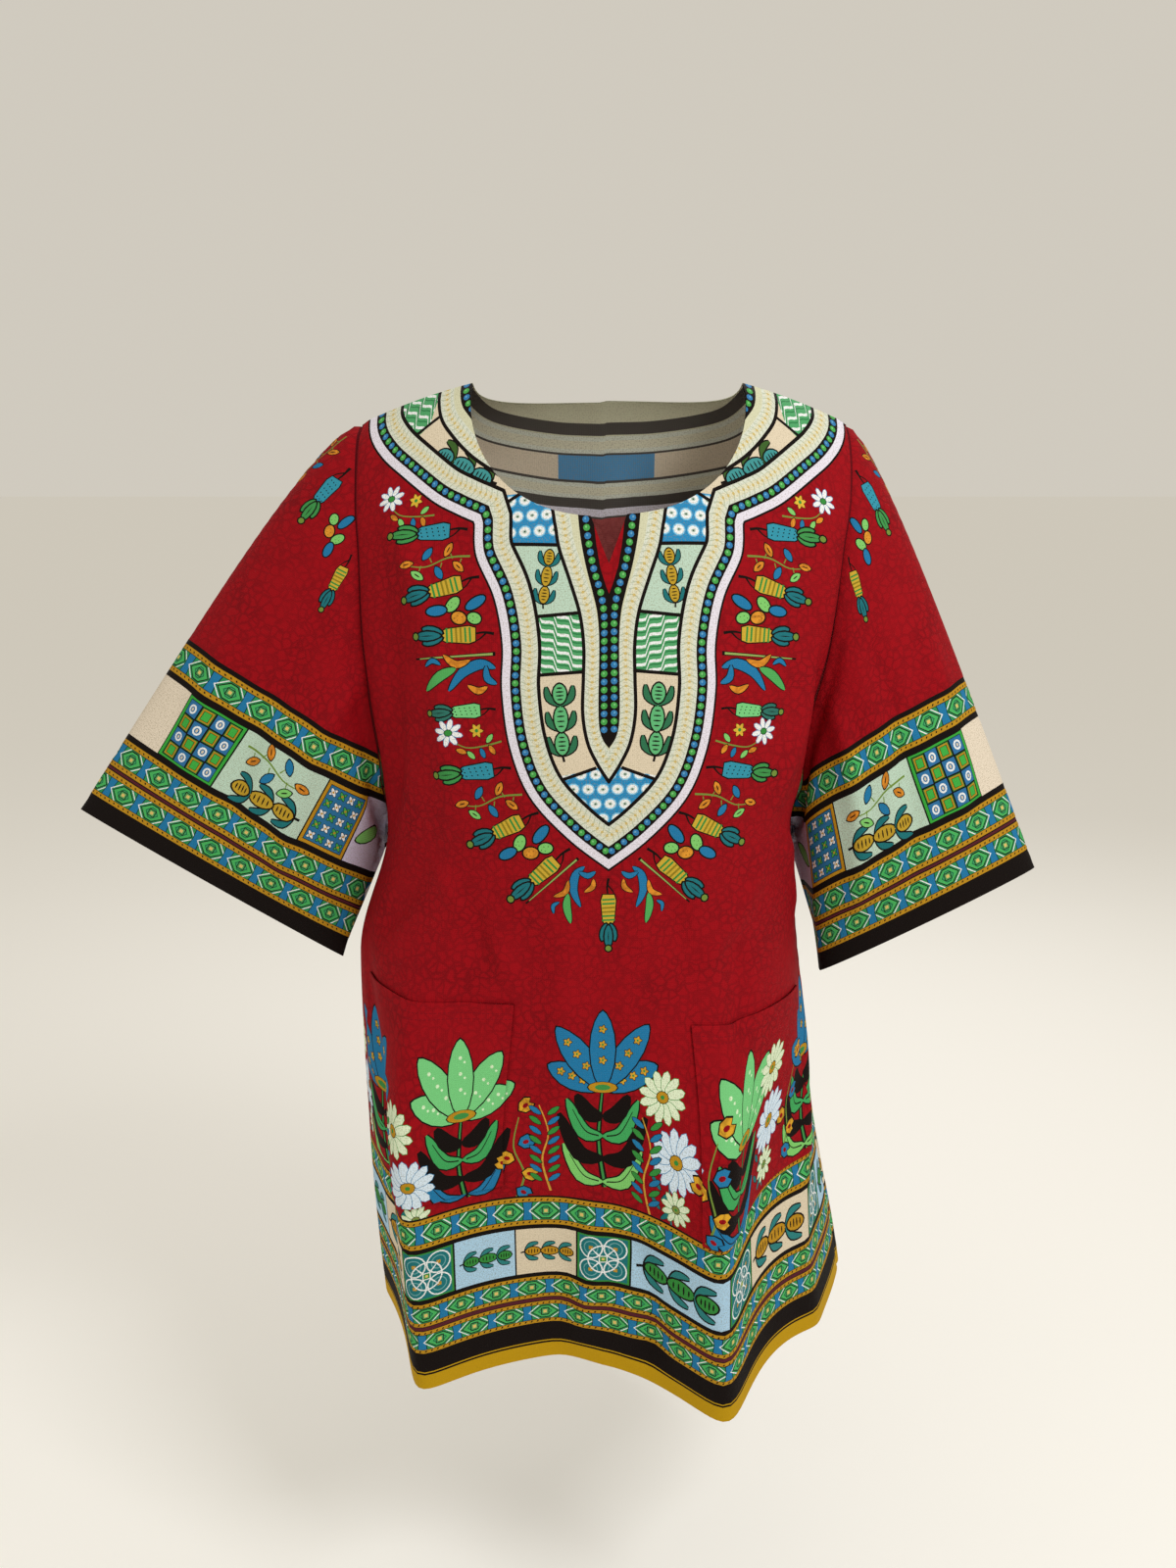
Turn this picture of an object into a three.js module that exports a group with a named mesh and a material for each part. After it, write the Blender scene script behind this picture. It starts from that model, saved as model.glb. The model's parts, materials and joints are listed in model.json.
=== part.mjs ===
// A dashiki tunic: a straight, wide garment of stiff printed cotton with a round, slit
// neck, elbow-length sleeves set in dropped armholes, and two patch pockets.
// Millimetres, +Z up, the front faces -Y and the wearer's right sleeve is at -X.
// The origin lies midway between the two shoulder points beside the neck.
import * as THREE from 'three';

// ---- driving dimensions ----
const wall = 1.6;             // cotton with its turned edges, as one wall
const seamGap = 0.3;          // between two pieces that are sewn together
const armpitDrop = 345;       // shoulder points down to the underarm
const hemDrop = 748;          // shoulder points down to the hem
const neckHalfWidth = 103;    // centre line out to a shoulder point
const frontNeckDrop = 106;    // shoulder points down to the round front neck
const slitDrop = 138;         // shoulder points down to the end of the slit
const slitHalfWidth = 13;     // half the slit's mouth, where it opens out of the neck
const backNeckDrop = 24;      // shoulder points down to the back neck
const neckSquareness = 2.3;   // 2 is a round neck, more is squarer

// ---- mesh density ----
const yokeRows = 13;          // from the neck, shoulders and armholes to the underarm
const skirtRows = 13;         // from the underarm to the hem
const sleeveRows = 10;
const neckSteps = 12;         // columns round each half of the neck
const shoulderSteps = 6;      // columns along each shoulder
const arcSamples = 160;       // points that measure the length of one section

// One row for each level section of the body. down: below the shoulder points. left, right:
// half widths out to the armhole or side seam. front, back: y on the centre lines. side: y of
// the side seam. cut: the angle from the centre line at which the armhole ends the section.
// slope: how much lower the section's outer ends lie than its middle.
const bodySections = table(
  ['down', 'left', 'right', 'front', 'back', 'side', 'cut', 'slope'], [
    [0, 189, 184, 10, 10, 10, 58, 30],
    [8, 190, 184, -16, 38, 10, 58, 31],
    [26, 190, 184, -40, 62, 10, 58, 30],
    [60, 190, 183, -62, 82, 11, 58, 25],
    [110, 188, 177, -82, 96, 12, 60, 17],
    [170, 187, 171, -100, 104, 14, 63, 9],
    [235, 183, 166, -112, 106, 16, 68, 4],
    [300, 178, 158, -116, 104, 18, 77, 1],
    [345, 178, 150, -116, 102, 20, 90, 0],
    [450, 203, 157, -114, 102, 18, 90, 0],
    [590, 196, 171, -110, 108, 18, 90, 0],
    [748, 182, 195, -108, 114, 18, 90, 0],
  ]);
const squareness = 2.3;       // of the body's sections: 2 is an ellipse

// One row for each large fold that runs down the body. at: its angle from the centre front,
// positive to the right, 180 at the centre back. lean: how far from there it starts. from, full:
// where it starts and where it has its full depth. depth: outwards, or inwards where negative.
// width: of each flank, in degrees. dip: how much lower the hem hangs on it.
const bodyFolds = table(
  ['at', 'lean', 'from', 'full', 'depth', 'width', 'dip'], [
    [-38, -4, 400, 570, 54, 13, 18],
    [19, 13, 430, 600, 65, 11, 22],
    [55, 0, 520, 740, 10, 9, 2],
    [-78, 0, 480, 740, 8, 9, 0],
    [-8, 0, 560, 748, -8, 9, -4],
    [96, 0, 500, 748, 14, 10, 3],
    [132, 0, 420, 740, 20, 10, 5],
    [163, 0, 360, 740, -12, 9, -3],
    [-168, 0, 400, 740, 18, 9, 4],
    [-132, 0, 430, 740, 22, 10, 5],
    [-102, 0, 470, 740, -10, 8, -2],
  ]);
const foldRounding = 3.5;     // degrees over which a fold's crest is rounded

// One row for each sleeve, -1 on the left and 1 on the right. outerX, outerZ: the cuff's corner
// at the top line. innerX, innerZ: its corner at the underarm. middleY: where the corners hang.
// front, back: how far the cuff stands out from them. tilt: how much higher its front hangs.
// lens: 2 is an ellipse, less has sharper corners. lift: how far the upper arm raises the top
// line. puff: how far the front and the back stand out near the armhole.
const sleeves = table(
  ['side', 'outerX', 'outerZ', 'innerX', 'innerZ', 'middleY', 'front', 'back', 'tilt', 'lens',
    'lift', 'puff'], [
    [-1, -428, -334, -219, -460, 8, 26, 40, 10, 1.7, 15, 14],
    [1, 350, -382, 178, -471, 4, 34, 96, 12, 1.9, 11, 12],
  ]);

// One row for each patch pocket, -1 on the left and 1 on the right. near, far: its sides, as
// shares of the way from the centre front to the side seam. top, bottom: below the shoulder
// points. The folds start where the pockets' mouths stand away from the body.
const pockets = table(
  ['side', 'near', 'far', 'top', 'bottom'], [
    [-1, 0.25, 0.78, 455, 592],
    [1, 0.26, 0.8, 471, 604],
  ]);

// ---- colours: red ground cloth, darker where a second layer of it lies ----
const red = 0xa8101e;
const pocketRed = 0x9c0e1b;

function table(columns, rows) {
  return rows.map((row) => Object.fromEntries(columns.map((name, i) => [name, row[i]])));
}

// A column's value between the rows of a table: cubic pieces that never overshoot the rows.
function between(rows, key, value, column) {
  const last = rows.length - 1;
  if (value <= rows[0][key]) return rows[0][column];
  if (value >= rows[last][key]) return rows[last][column];
  const i = rows.findIndex((row) => row[key] > value) - 1;
  const rise = (j) => (rows[j + 1][column] - rows[j][column]) / (rows[j + 1][key] - rows[j][key]);
  const slope = (j) => {
    if (j === 0) return rise(0);
    if (j === last) return rise(last - 1);
    const before = rise(j - 1);
    const after = rise(j);
    return before * after > 0 ? (2 * before * after) / (before + after) : 0;
  };
  const span = rows[i + 1][key] - rows[i][key];
  const t = (value - rows[i][key]) / span;
  return rows[i][column] * (1 + 2 * t) * (1 - t) ** 2 + rows[i + 1][column] * t * t * (3 - 2 * t)
    + span * (slope(i) * t * (1 - t) ** 2 - slope(i + 1) * t * t * (1 - t));
}

function sectionAt(down) {
  const names = Object.keys(bodySections[0]);
  return Object.fromEntries(names.map((name) => [name, between(bodySections, 'down', down, name)]));
}

const radians = (degrees) => (degrees * Math.PI) / 180;
const roundness = 2 / squareness;

// The body's outer surface: how far below the shoulder points, and the angle from the centre
// front. The folds stand along the section's own outward direction.
function bodyPoint(section, degrees) {
  const sine = Math.sin(radians(degrees));
  const cosine = Math.cos(radians(degrees));
  const halfWidth = sine < 0 ? section.left : section.right;
  const reach = halfWidth / Math.abs(Math.sin(radians(section.cut))) ** roundness;
  const depth = (cosine < 0 ? section.back : section.front) - section.side;
  const x = reach * Math.sign(sine) * Math.abs(sine) ** roundness;
  const y = depth * Math.abs(cosine) ** roundness;
  const outward = new THREE.Vector2(x / reach ** 2, depth ? y / depth ** 2 : 0).normalize();
  let out = 0;
  let dip = 0;
  for (const fold of bodyFolds) {
    const grown = THREE.MathUtils.smoothstep(section.down, fold.from, fold.full);
    const crestAt = fold.at + fold.lean * (1 - grown);
    const away = THREE.MathUtils.euclideanModulo(degrees - crestAt + 180, 360) - 180;
    const crest = Math.exp((foldRounding - Math.hypot(away, foldRounding)) / fold.width);
    out += fold.depth * grown * crest;
    dip += fold.dip * grown * crest;
  }
  const neckShare = (neckHalfWidth / halfWidth) ** 2;
  const fall = section.slope * ((x / halfWidth) ** 2 - neckShare) / (1 - neckShare);
  return new THREE.Vector3(
    x + out * outward.x, section.side + y + out * outward.y, -section.down - fall - dip);
}

// One level section of the front (middle 0) or the back (middle 180), from one armhole or side
// seam to the other. The share runs from -1 through 0 on the centre line to 1, by cloth length.
function panelSection(down, middle) {
  const section = sectionAt(down);
  const points = [];
  const lengths = [0];
  for (let i = -arcSamples; i <= arcSamples; i += 1) {
    points.push(bodyPoint(section, middle + (section.cut * i) / arcSamples));
    const n = points.length;
    if (n > 1) lengths.push(lengths[n - 2] + points[n - 1].distanceTo(points[n - 2]));
  }
  const centre = lengths[arcSamples];
  const total = lengths[2 * arcSamples];
  return (share) => {
    const length = share < 0 ? centre * (1 + share) : centre + (total - centre) * share;
    const found = lengths.findIndex((value) => value > length) - 1;
    const i = found < 0 ? 2 * arcSamples - 1 : found;
    const t = (length - lengths[i]) / (lengths[i + 1] - lengths[i]);
    return points[i].clone().lerp(points[i + 1], t);
  };
}

// How far below the shoulder points the neck is cut at x.
function neckCut(x, drop, slit) {
  const out = Math.abs(x) / neckHalfWidth;
  if (out >= 1) return 0;
  const round = (share) => drop * (1 - share ** neckSquareness) ** (1 / neckSquareness);
  const mouth = slitHalfWidth / neckHalfWidth;
  if (!slit || out > mouth) return round(out);
  return THREE.MathUtils.lerp(slit, round(mouth), out / mouth);
}

// The level at which a column of the panel meets the neck or the shoulder seam.
function topOfColumn(share, middle, drop, slit) {
  let low = 0;
  let high = armpitDrop;
  for (let i = 0; i < 40; i += 1) {
    const level = (low + high) / 2;
    const cut = neckCut(panelSection(level, middle)(share).x, drop, slit);
    if (level < cut) low = level; else high = level;
  }
  return high < 0.01 ? 0 : high;
}

// The values with the wanted ones among them, in place of any that lie too close to those.
function including(values, wanted, spacing) {
  const kept = values.filter((value) => (
    wanted.every((other) => Math.abs(value - other) > spacing)));
  return [...kept, ...wanted].sort((one, other) => one - other);
}

// The front's columns, as shares of its half widths: closer together where the neck is steep,
// one on each side of the slit's mouth, and then along the shoulder.
function frontPanelColumns() {
  const columns = [0];
  for (const sign of [-1, 1]) {
    const shoulder = sign < 0 ? bodySections[0].left : bodySections[0].right;
    const neck = neckHalfWidth / shoulder;
    const mouth = slitHalfWidth / shoulder;
    columns.push(sign * mouth);
    for (let i = 1; i <= neckSteps; i += 1) {
      const share = neck * Math.sin((Math.PI / 2) * (i / neckSteps));
      if (share > 1.6 * mouth) columns.push(sign * share);
    }
    for (let i = 1; i <= shoulderSteps; i += 1) {
      columns.push(sign * (neck + ((1 - neck) * i) / shoulderSteps));
    }
  }
  return columns.sort((one, other) => one - other);
}

function skirtLevels() {
  const levels = [];
  for (let i = 1; i <= skirtRows; i += 1) {
    levels.push(armpitDrop + ((hemDrop - armpitDrop) * i) / skirtRows);
  }
  return levels;
}

// A panel's outer surface as rows of points, from the neck and the shoulders to the hem.
function panelGrid(columns, levels, middle, drop, slit) {
  const tops = columns.map((share) => topOfColumn(share, middle, drop, slit));
  const rows = [];
  for (let i = 0; i <= yokeRows; i += 1) {
    const way = (i / yokeRows) ** 1.5;
    rows.push(columns.map((share, c) => (
      panelSection(tops[c] + (armpitDrop - tops[c]) * way, middle)(share))));
  }
  for (const level of levels) {
    const section = panelSection(level, middle);
    rows.push(columns.map((share) => section(share)));
  }
  return rows;
}

// The cuff's outline, by the share of its length: 0 at the top line, then down the front.
function cuffOutline(sleeve) {
  const outer = new THREE.Vector3(sleeve.outerX, sleeve.middleY, sleeve.outerZ);
  const inner = new THREE.Vector3(sleeve.innerX, sleeve.middleY, sleeve.innerZ);
  const centre = outer.clone().lerp(inner, 0.5);
  const half = outer.clone().sub(centre);
  const points = [];
  const lengths = [0];
  for (let i = 0; i <= 4 * arcSamples; i += 1) {
    const angle = (2 * Math.PI * i) / (4 * arcSamples);
    const along = Math.sign(Math.cos(angle)) * Math.abs(Math.cos(angle)) ** (2 / sleeve.lens);
    const across = Math.sign(Math.sin(angle)) * Math.abs(Math.sin(angle)) ** (2 / sleeve.lens);
    const point = centre.clone().addScaledVector(half, along);
    point.y -= (across > 0 ? sleeve.front : sleeve.back) * across;
    point.z += sleeve.tilt * across;
    points.push(point);
    if (i > 0) lengths.push(lengths[i - 1] + point.distanceTo(points[i - 1]));
  }
  return (share) => {
    const length = share * lengths[lengths.length - 1];
    const i = Math.min(lengths.findIndex((value) => value > length), points.length - 1) - 1;
    if (i < 0) return points[0].clone();
    return points[i].clone().lerp(points[i + 1], (length - lengths[i]) / (lengths[i + 1] - lengths[i]));
  };
}

// A sleeve's outer surface as rows of points round it, from the armhole to the cuff. Each
// column starts at a point of the armhole: down the front panel's edge, then up the back's.
function sleeveGrid(sleeve, frontEdge, backEdge) {
  const loop = [...frontEdge, ...backEdge.slice(1, -1).reverse()];
  const ends = [0, frontEdge.length - 1, loop.length];
  const shares = [];
  for (const half of [0, 1]) {
    const stretch = [...loop, loop[0]].slice(ends[half], ends[half + 1] + 1);
    const lengths = stretch.map((point, i) => (i ? point.distanceTo(stretch[i - 1]) : 0));
    const total = lengths.reduce((sum, length) => sum + length, 0);
    let run = 0;
    for (let i = 0; i < stretch.length - 1; i += 1) {
      run += lengths[i];
      shares.push((half + run / total) / 2);
    }
  }
  const cuff = cuffOutline(sleeve);
  const rows = [];
  for (let j = 0; j <= sleeveRows; j += 1) {
    const way = j / sleeveRows;
    rows.push(loop.map((start, i) => {
      const end = cuff(shares[i]);
      const top = Math.min(shares[i], 1 - shares[i]);
      const lift = sleeve.lift * Math.sin(Math.PI * Math.sqrt(way)) * Math.exp(-((top / 0.09) ** 2));
      const puff = sleeve.puff * 4 * way * (1 - way) * Math.sin(2 * Math.PI * shares[i]);
      const point = start.clone().lerp(end, way);
      point.x += sleeve.side * lift * 0.8;
      point.z += lift * 0.6;
      point.y -= puff;
      return point;
    }));
  }
  return rows;
}

// The outward normals of a surface given as rows of points. A closed one joins its last column
// to its first.
function gridNormals(rows, closed) {
  const width = rows[0].length;
  const column = (c) => (closed ? (c + width) % width : Math.min(Math.max(c, 0), width - 1));
  return rows.map((row, r) => row.map((point, c) => {
    const across = row[column(c + 1)].clone().sub(row[column(c - 1)]);
    const above = rows[Math.max(r - 1, 0)][c];
    const below = rows[Math.min(r + 1, rows.length - 1)][c];
    return below.clone().sub(above).cross(across).normalize();
  }));
}

// Where pieces are sewn together their walls share one direction, so that they meet in a mitre.
function shareNormals(surfaces) {
  const met = new Map();
  for (const { rows, normals } of surfaces) {
    rows.forEach((row, r) => row.forEach((point, c) => {
      const place = point.toArray().map((value) => value.toFixed(2)).join();
      if (!met.has(place)) met.set(place, []);
      met.get(place).push(normals[r][c]);
    }));
  }
  for (const normals of met.values()) {
    const mean = normals.reduce((sum, normal) => sum.add(normal), new THREE.Vector3()).normalize();
    for (const normal of normals) normal.copy(mean);
  }
}

// Draws a piece's sewn edges back, square to the seam, so that it lies clear of its neighbour.
// A panel is sewn along both shoulders and both sides, and a sleeve all round its armhole.
function drawBack({ rows, normals, closed }) {
  const moved = rows.map((row) => row.map(() => new THREE.Vector3()));
  const draw = (line, inner, walls, shifts) => {
    const end = line.length - 1;
    line.forEach((point, i) => {
      const after = line[closed ? (i + 1) % line.length : Math.min(i + 1, end)];
      const before = line[closed ? (i + end) % line.length : Math.max(i - 1, 0)];
      const square = after.clone().sub(before).cross(walls[i]).setLength(seamGap / 2);
      if (square.dot(inner[i].clone().sub(point)) < 0) square.negate();
      shifts[i].add(square);
    });
  };
  const lines = [rows[0], rows[1], normals[0], moved[0]];
  if (closed) {
    draw(...lines);
  } else {
    const shoulder = shoulderSteps + 1;
    draw(...lines.map((line) => line.slice(0, shoulder)));
    draw(...lines.map((line) => line.slice(-shoulder)));
    for (const [side, next] of [[0, 1], [-1, -2]]) {
      const column = (grid, c) => grid.map((row) => row.at(c));
      draw(column(rows, side), column(rows, next), column(normals, side), column(moved, side));
    }
  }
  rows.forEach((row, r) => row.forEach((point, c) => point.add(moved[r][c])));
}

// A closed wall between two copies of a surface, at the given heights above it.
function wallGeometry(rows, normals, inner, outer, closed) {
  const width = rows[0].length;
  const positions = [];
  for (const height of [outer, inner]) {
    rows.forEach((row, r) => row.forEach((point, c) => {
      positions.push(...point.clone().addScaledVector(normals[r][c], height).toArray());
    }));
  }
  const layer = rows.length * width;
  const index = (side, r, c) => side * layer + r * width + (c % width);
  const triangles = [];
  const quad = (a, b, c, d) => triangles.push(a, b, c, a, c, d);
  const columns = closed ? width : width - 1;
  for (let r = 0; r < rows.length - 1; r += 1) {
    for (let c = 0; c < columns; c += 1) {
      quad(index(0, r, c), index(0, r + 1, c), index(0, r + 1, c + 1), index(0, r, c + 1));
      quad(index(1, r, c), index(1, r, c + 1), index(1, r + 1, c + 1), index(1, r + 1, c));
    }
    if (!closed) {
      quad(index(0, r, 0), index(1, r, 0), index(1, r + 1, 0), index(0, r + 1, 0));
      const end = width - 1;
      quad(index(0, r, end), index(0, r + 1, end), index(1, r + 1, end), index(1, r, end));
    }
  }
  const last = rows.length - 1;
  for (let c = 0; c < columns; c += 1) {
    quad(index(0, 0, c), index(0, 0, c + 1), index(1, 0, c + 1), index(1, 0, c));
    quad(index(0, last, c), index(1, last, c), index(1, last, c + 1), index(0, last, c + 1));
  }
  const geometry = new THREE.BufferGeometry();
  geometry.setAttribute('position', new THREE.Float32BufferAttribute(positions, 3));
  geometry.setIndex(triangles);
  geometry.computeVertexNormals();
  return geometry;
}

function cotton(name, color) {
  return new THREE.MeshStandardMaterial({ name, color, roughness: 0.85, metalness: 0 });
}

// ---- the garment ----
const pocketSides = pockets.flatMap(({ side, near, far }) => [side * near, side * far]);
const pocketLevels = pockets.flatMap(({ top, bottom }) => [top, bottom]);
const columns = including(frontPanelColumns(), pocketSides, 0.02);
const levels = including(skirtLevels(), pocketLevels, 8);

const front = { name: 'front', closed: false };
front.rows = panelGrid(columns, levels, 0, frontNeckDrop, slitDrop);
// The back's columns run the other way, so that its faces point outwards and it meets the
// front point for point along the seams.
const backColumns = columns.map((share) => -share).reverse();
const back = { name: 'back', closed: false };
back.rows = panelGrid(backColumns, levels, 180, backNeckDrop, 0);

const edge = (surface, atEnd) => (
  surface.rows.slice(0, yokeRows + 1).map((row) => row[atEnd ? row.length - 1 : 0].clone()));
const tubes = sleeves.map((sleeve) => {
  const onLeft = sleeve.side < 0;
  const grid = sleeveGrid(sleeve, edge(front, !onLeft), edge(back, onLeft));
  // The right sleeve's columns are turned round, so that its faces point outwards too.
  if (!onLeft) grid.forEach((row) => row.reverse());
  return { name: onLeft ? 'sleeve_left' : 'sleeve_right', closed: true, rows: grid };
});

const pieces = [front, back, ...tubes];
for (const piece of pieces) piece.normals = gridNormals(piece.rows, piece.closed);
shareNormals(pieces);

const patches = pockets.map(({ side, near, far, top, bottom }) => {
  const ends = [side * near, side * far].sort((one, other) => one - other);
  const [first, last] = ends.map((share) => columns.indexOf(share));
  const [upper, lower] = [top, bottom].map((level) => yokeRows + 1 + levels.indexOf(level));
  const cut = (grid) => grid.slice(upper, lower + 1).map((row) => row.slice(first, last + 1));
  return {
    name: side < 0 ? 'pocket_left' : 'pocket_right',
    rows: cut(front.rows),
    normals: cut(front.normals),
    closed: false,
  };
});

const garment = new THREE.Group();
garment.name = 'dashiki_tunic';
for (const piece of pieces) drawBack(piece);
for (const piece of pieces) {
  const geometry = wallGeometry(piece.rows, piece.normals, -wall, 0, piece.closed);
  const mesh = new THREE.Mesh(geometry, cotton('printed_cotton', red));
  mesh.name = piece.name;
  garment.add(mesh);
}
for (const patch of patches) {
  const geometry = wallGeometry(patch.rows, patch.normals, seamGap, seamGap + wall, false);
  const mesh = new THREE.Mesh(geometry, cotton('pocket_cotton', pocketRed));
  mesh.name = patch.name;
  garment.add(mesh);
}

export default garment;
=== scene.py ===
# A dashiki tunic of stiff printed cotton in the form that it has when it is worn: front, back,
# two wide sleeves and two patch pockets. Millimetres in the cloth, metres in Blender.
import json
import math

import bpy
import numpy as np
from mathutils import Vector
from mathutils.geometry import delaunay_2d_cdt
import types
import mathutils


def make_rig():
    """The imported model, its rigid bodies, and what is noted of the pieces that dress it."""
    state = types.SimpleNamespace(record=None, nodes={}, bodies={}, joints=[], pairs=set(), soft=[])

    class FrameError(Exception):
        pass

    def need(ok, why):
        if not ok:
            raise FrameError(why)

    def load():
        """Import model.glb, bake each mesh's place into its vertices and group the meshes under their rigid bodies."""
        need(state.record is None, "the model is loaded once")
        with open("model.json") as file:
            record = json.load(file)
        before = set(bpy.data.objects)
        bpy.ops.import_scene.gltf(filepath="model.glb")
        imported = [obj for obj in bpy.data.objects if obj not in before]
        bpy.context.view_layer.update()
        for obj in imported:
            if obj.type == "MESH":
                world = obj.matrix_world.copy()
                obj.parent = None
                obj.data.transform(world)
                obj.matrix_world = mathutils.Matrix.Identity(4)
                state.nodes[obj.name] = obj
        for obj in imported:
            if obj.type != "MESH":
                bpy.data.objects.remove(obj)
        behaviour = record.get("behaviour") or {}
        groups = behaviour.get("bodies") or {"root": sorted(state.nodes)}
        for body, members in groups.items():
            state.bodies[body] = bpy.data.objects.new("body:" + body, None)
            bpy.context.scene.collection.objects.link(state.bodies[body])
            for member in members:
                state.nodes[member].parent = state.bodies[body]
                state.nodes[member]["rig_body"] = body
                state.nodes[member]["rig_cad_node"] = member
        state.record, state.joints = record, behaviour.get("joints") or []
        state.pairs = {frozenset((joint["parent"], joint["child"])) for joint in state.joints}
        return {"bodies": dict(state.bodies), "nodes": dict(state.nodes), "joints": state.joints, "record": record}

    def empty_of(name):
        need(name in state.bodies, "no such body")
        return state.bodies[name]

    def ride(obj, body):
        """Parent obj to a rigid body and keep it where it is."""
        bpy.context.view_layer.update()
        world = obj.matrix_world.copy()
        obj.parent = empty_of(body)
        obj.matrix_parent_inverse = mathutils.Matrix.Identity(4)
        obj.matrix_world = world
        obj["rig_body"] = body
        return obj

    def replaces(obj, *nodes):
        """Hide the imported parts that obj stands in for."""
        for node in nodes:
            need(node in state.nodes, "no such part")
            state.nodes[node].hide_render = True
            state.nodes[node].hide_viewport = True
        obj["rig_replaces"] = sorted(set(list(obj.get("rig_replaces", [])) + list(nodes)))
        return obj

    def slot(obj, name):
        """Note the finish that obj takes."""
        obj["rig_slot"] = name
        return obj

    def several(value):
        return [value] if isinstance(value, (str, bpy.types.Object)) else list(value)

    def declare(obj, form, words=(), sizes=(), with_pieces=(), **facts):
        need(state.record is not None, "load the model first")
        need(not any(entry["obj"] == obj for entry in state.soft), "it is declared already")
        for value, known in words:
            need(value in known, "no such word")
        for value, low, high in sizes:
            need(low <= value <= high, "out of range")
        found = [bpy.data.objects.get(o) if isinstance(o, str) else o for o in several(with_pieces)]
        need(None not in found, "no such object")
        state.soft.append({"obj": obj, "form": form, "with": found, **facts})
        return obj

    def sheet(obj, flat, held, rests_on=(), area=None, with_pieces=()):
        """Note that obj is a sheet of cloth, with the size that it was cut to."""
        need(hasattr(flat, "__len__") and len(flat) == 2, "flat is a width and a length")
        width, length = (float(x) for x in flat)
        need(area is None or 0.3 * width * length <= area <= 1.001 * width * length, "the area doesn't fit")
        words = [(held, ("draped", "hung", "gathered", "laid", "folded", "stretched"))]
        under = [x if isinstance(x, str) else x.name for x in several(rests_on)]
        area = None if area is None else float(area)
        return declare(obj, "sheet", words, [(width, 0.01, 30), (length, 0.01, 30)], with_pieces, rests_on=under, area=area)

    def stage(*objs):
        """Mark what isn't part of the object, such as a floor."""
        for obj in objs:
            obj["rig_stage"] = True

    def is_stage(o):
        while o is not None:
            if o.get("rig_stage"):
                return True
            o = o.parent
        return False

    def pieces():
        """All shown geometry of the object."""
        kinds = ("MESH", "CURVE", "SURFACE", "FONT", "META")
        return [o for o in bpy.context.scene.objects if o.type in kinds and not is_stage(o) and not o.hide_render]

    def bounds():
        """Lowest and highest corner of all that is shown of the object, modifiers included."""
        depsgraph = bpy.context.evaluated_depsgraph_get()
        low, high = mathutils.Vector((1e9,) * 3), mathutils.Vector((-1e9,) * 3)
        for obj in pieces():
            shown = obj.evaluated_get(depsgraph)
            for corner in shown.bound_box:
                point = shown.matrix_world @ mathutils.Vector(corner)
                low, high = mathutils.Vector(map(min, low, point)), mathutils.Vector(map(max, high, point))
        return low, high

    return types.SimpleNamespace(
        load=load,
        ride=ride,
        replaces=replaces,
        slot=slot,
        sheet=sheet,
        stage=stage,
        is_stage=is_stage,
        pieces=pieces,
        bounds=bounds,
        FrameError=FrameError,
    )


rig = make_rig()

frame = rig.load()
cad_box = [list(corner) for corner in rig.bounds()]


# ---- camera, lights and floor ----
# The camera stands a little above the garment's middle, 1.1 m away, and is tipped down.
camera = bpy.data.objects.new("camera", bpy.data.cameras.new("camera"))
bpy.context.scene.collection.objects.link(camera)
camera.data.lens = 31.5
camera.data.sensor_fit = "VERTICAL"
camera.data.sensor_height = 36
camera.location = (-0.015, -1.080, -0.080)
camera.rotation_euler = (math.radians(90 - 12.1), 0, 0)
bpy.context.scene.camera = camera
bpy.context.scene.view_settings.view_transform = "Standard"


def linear(hex_colour):
    """The linear values of an sRGB colour such as #970814."""
    values = [int(hex_colour[i:i + 2], 16) / 255 for i in (1, 3, 5)]
    return [v / 12.92 if v <= 0.04045 else ((v + 0.055) / 1.055) ** 2.4 for v in values]


def add_node(tree, kind, inputs=None, **settings):
    """Adds a node, sets its settings, and sets or links its inputs."""
    node = tree.nodes.new(kind)
    for key, value in settings.items():
        setattr(node, key, value)
    for key, value in (inputs or {}).items():
        if isinstance(value, bpy.types.NodeSocket):
            tree.links.new(value, node.inputs[key])
        else:
            node.inputs[key].default_value = value
    return node


def material(name):
    """A new material with an empty tree, and its Principled shader linked to the output."""
    made = bpy.data.materials.new(name)
    made.use_nodes = True
    made.node_tree.nodes.clear()
    shader = add_node(made.node_tree, "ShaderNodeBsdfPrincipled")
    add_node(made.node_tree, "ShaderNodeOutputMaterial", {"Surface": shader.outputs[0]})
    return made, made.node_tree, shader


world = bpy.data.worlds.new("studio")
bpy.context.scene.world = world
world.use_nodes = True
world.node_tree.nodes.clear()
surround = add_node(world.node_tree, "ShaderNodeBackground",
                    {"Color": (*linear("#D8D2C6"), 1), "Strength": 0.92})
add_node(world.node_tree, "ShaderNodeOutputWorld", {"Surface": surround.outputs[0]})

for name, place, width, power in [
        ("key light", (1.0, -1.2, 1.1), 0.7, 21),
        ("fill light", (-1.6, -0.9, 0.3), 1.4, 3),
        ("back light", (0.5, 1.7, 0.9), 1.2, 10)]:
    lamp = bpy.data.objects.new(name, bpy.data.lights.new(name, "AREA"))
    bpy.context.scene.collection.objects.link(lamp)
    lamp.data.size = width
    lamp.data.energy = power
    lamp.location = place
    aim = Vector((0, 0, -0.4)) - lamp.location
    lamp.rotation_euler = aim.to_track_quat("-Z", "Y").to_euler()

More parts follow.
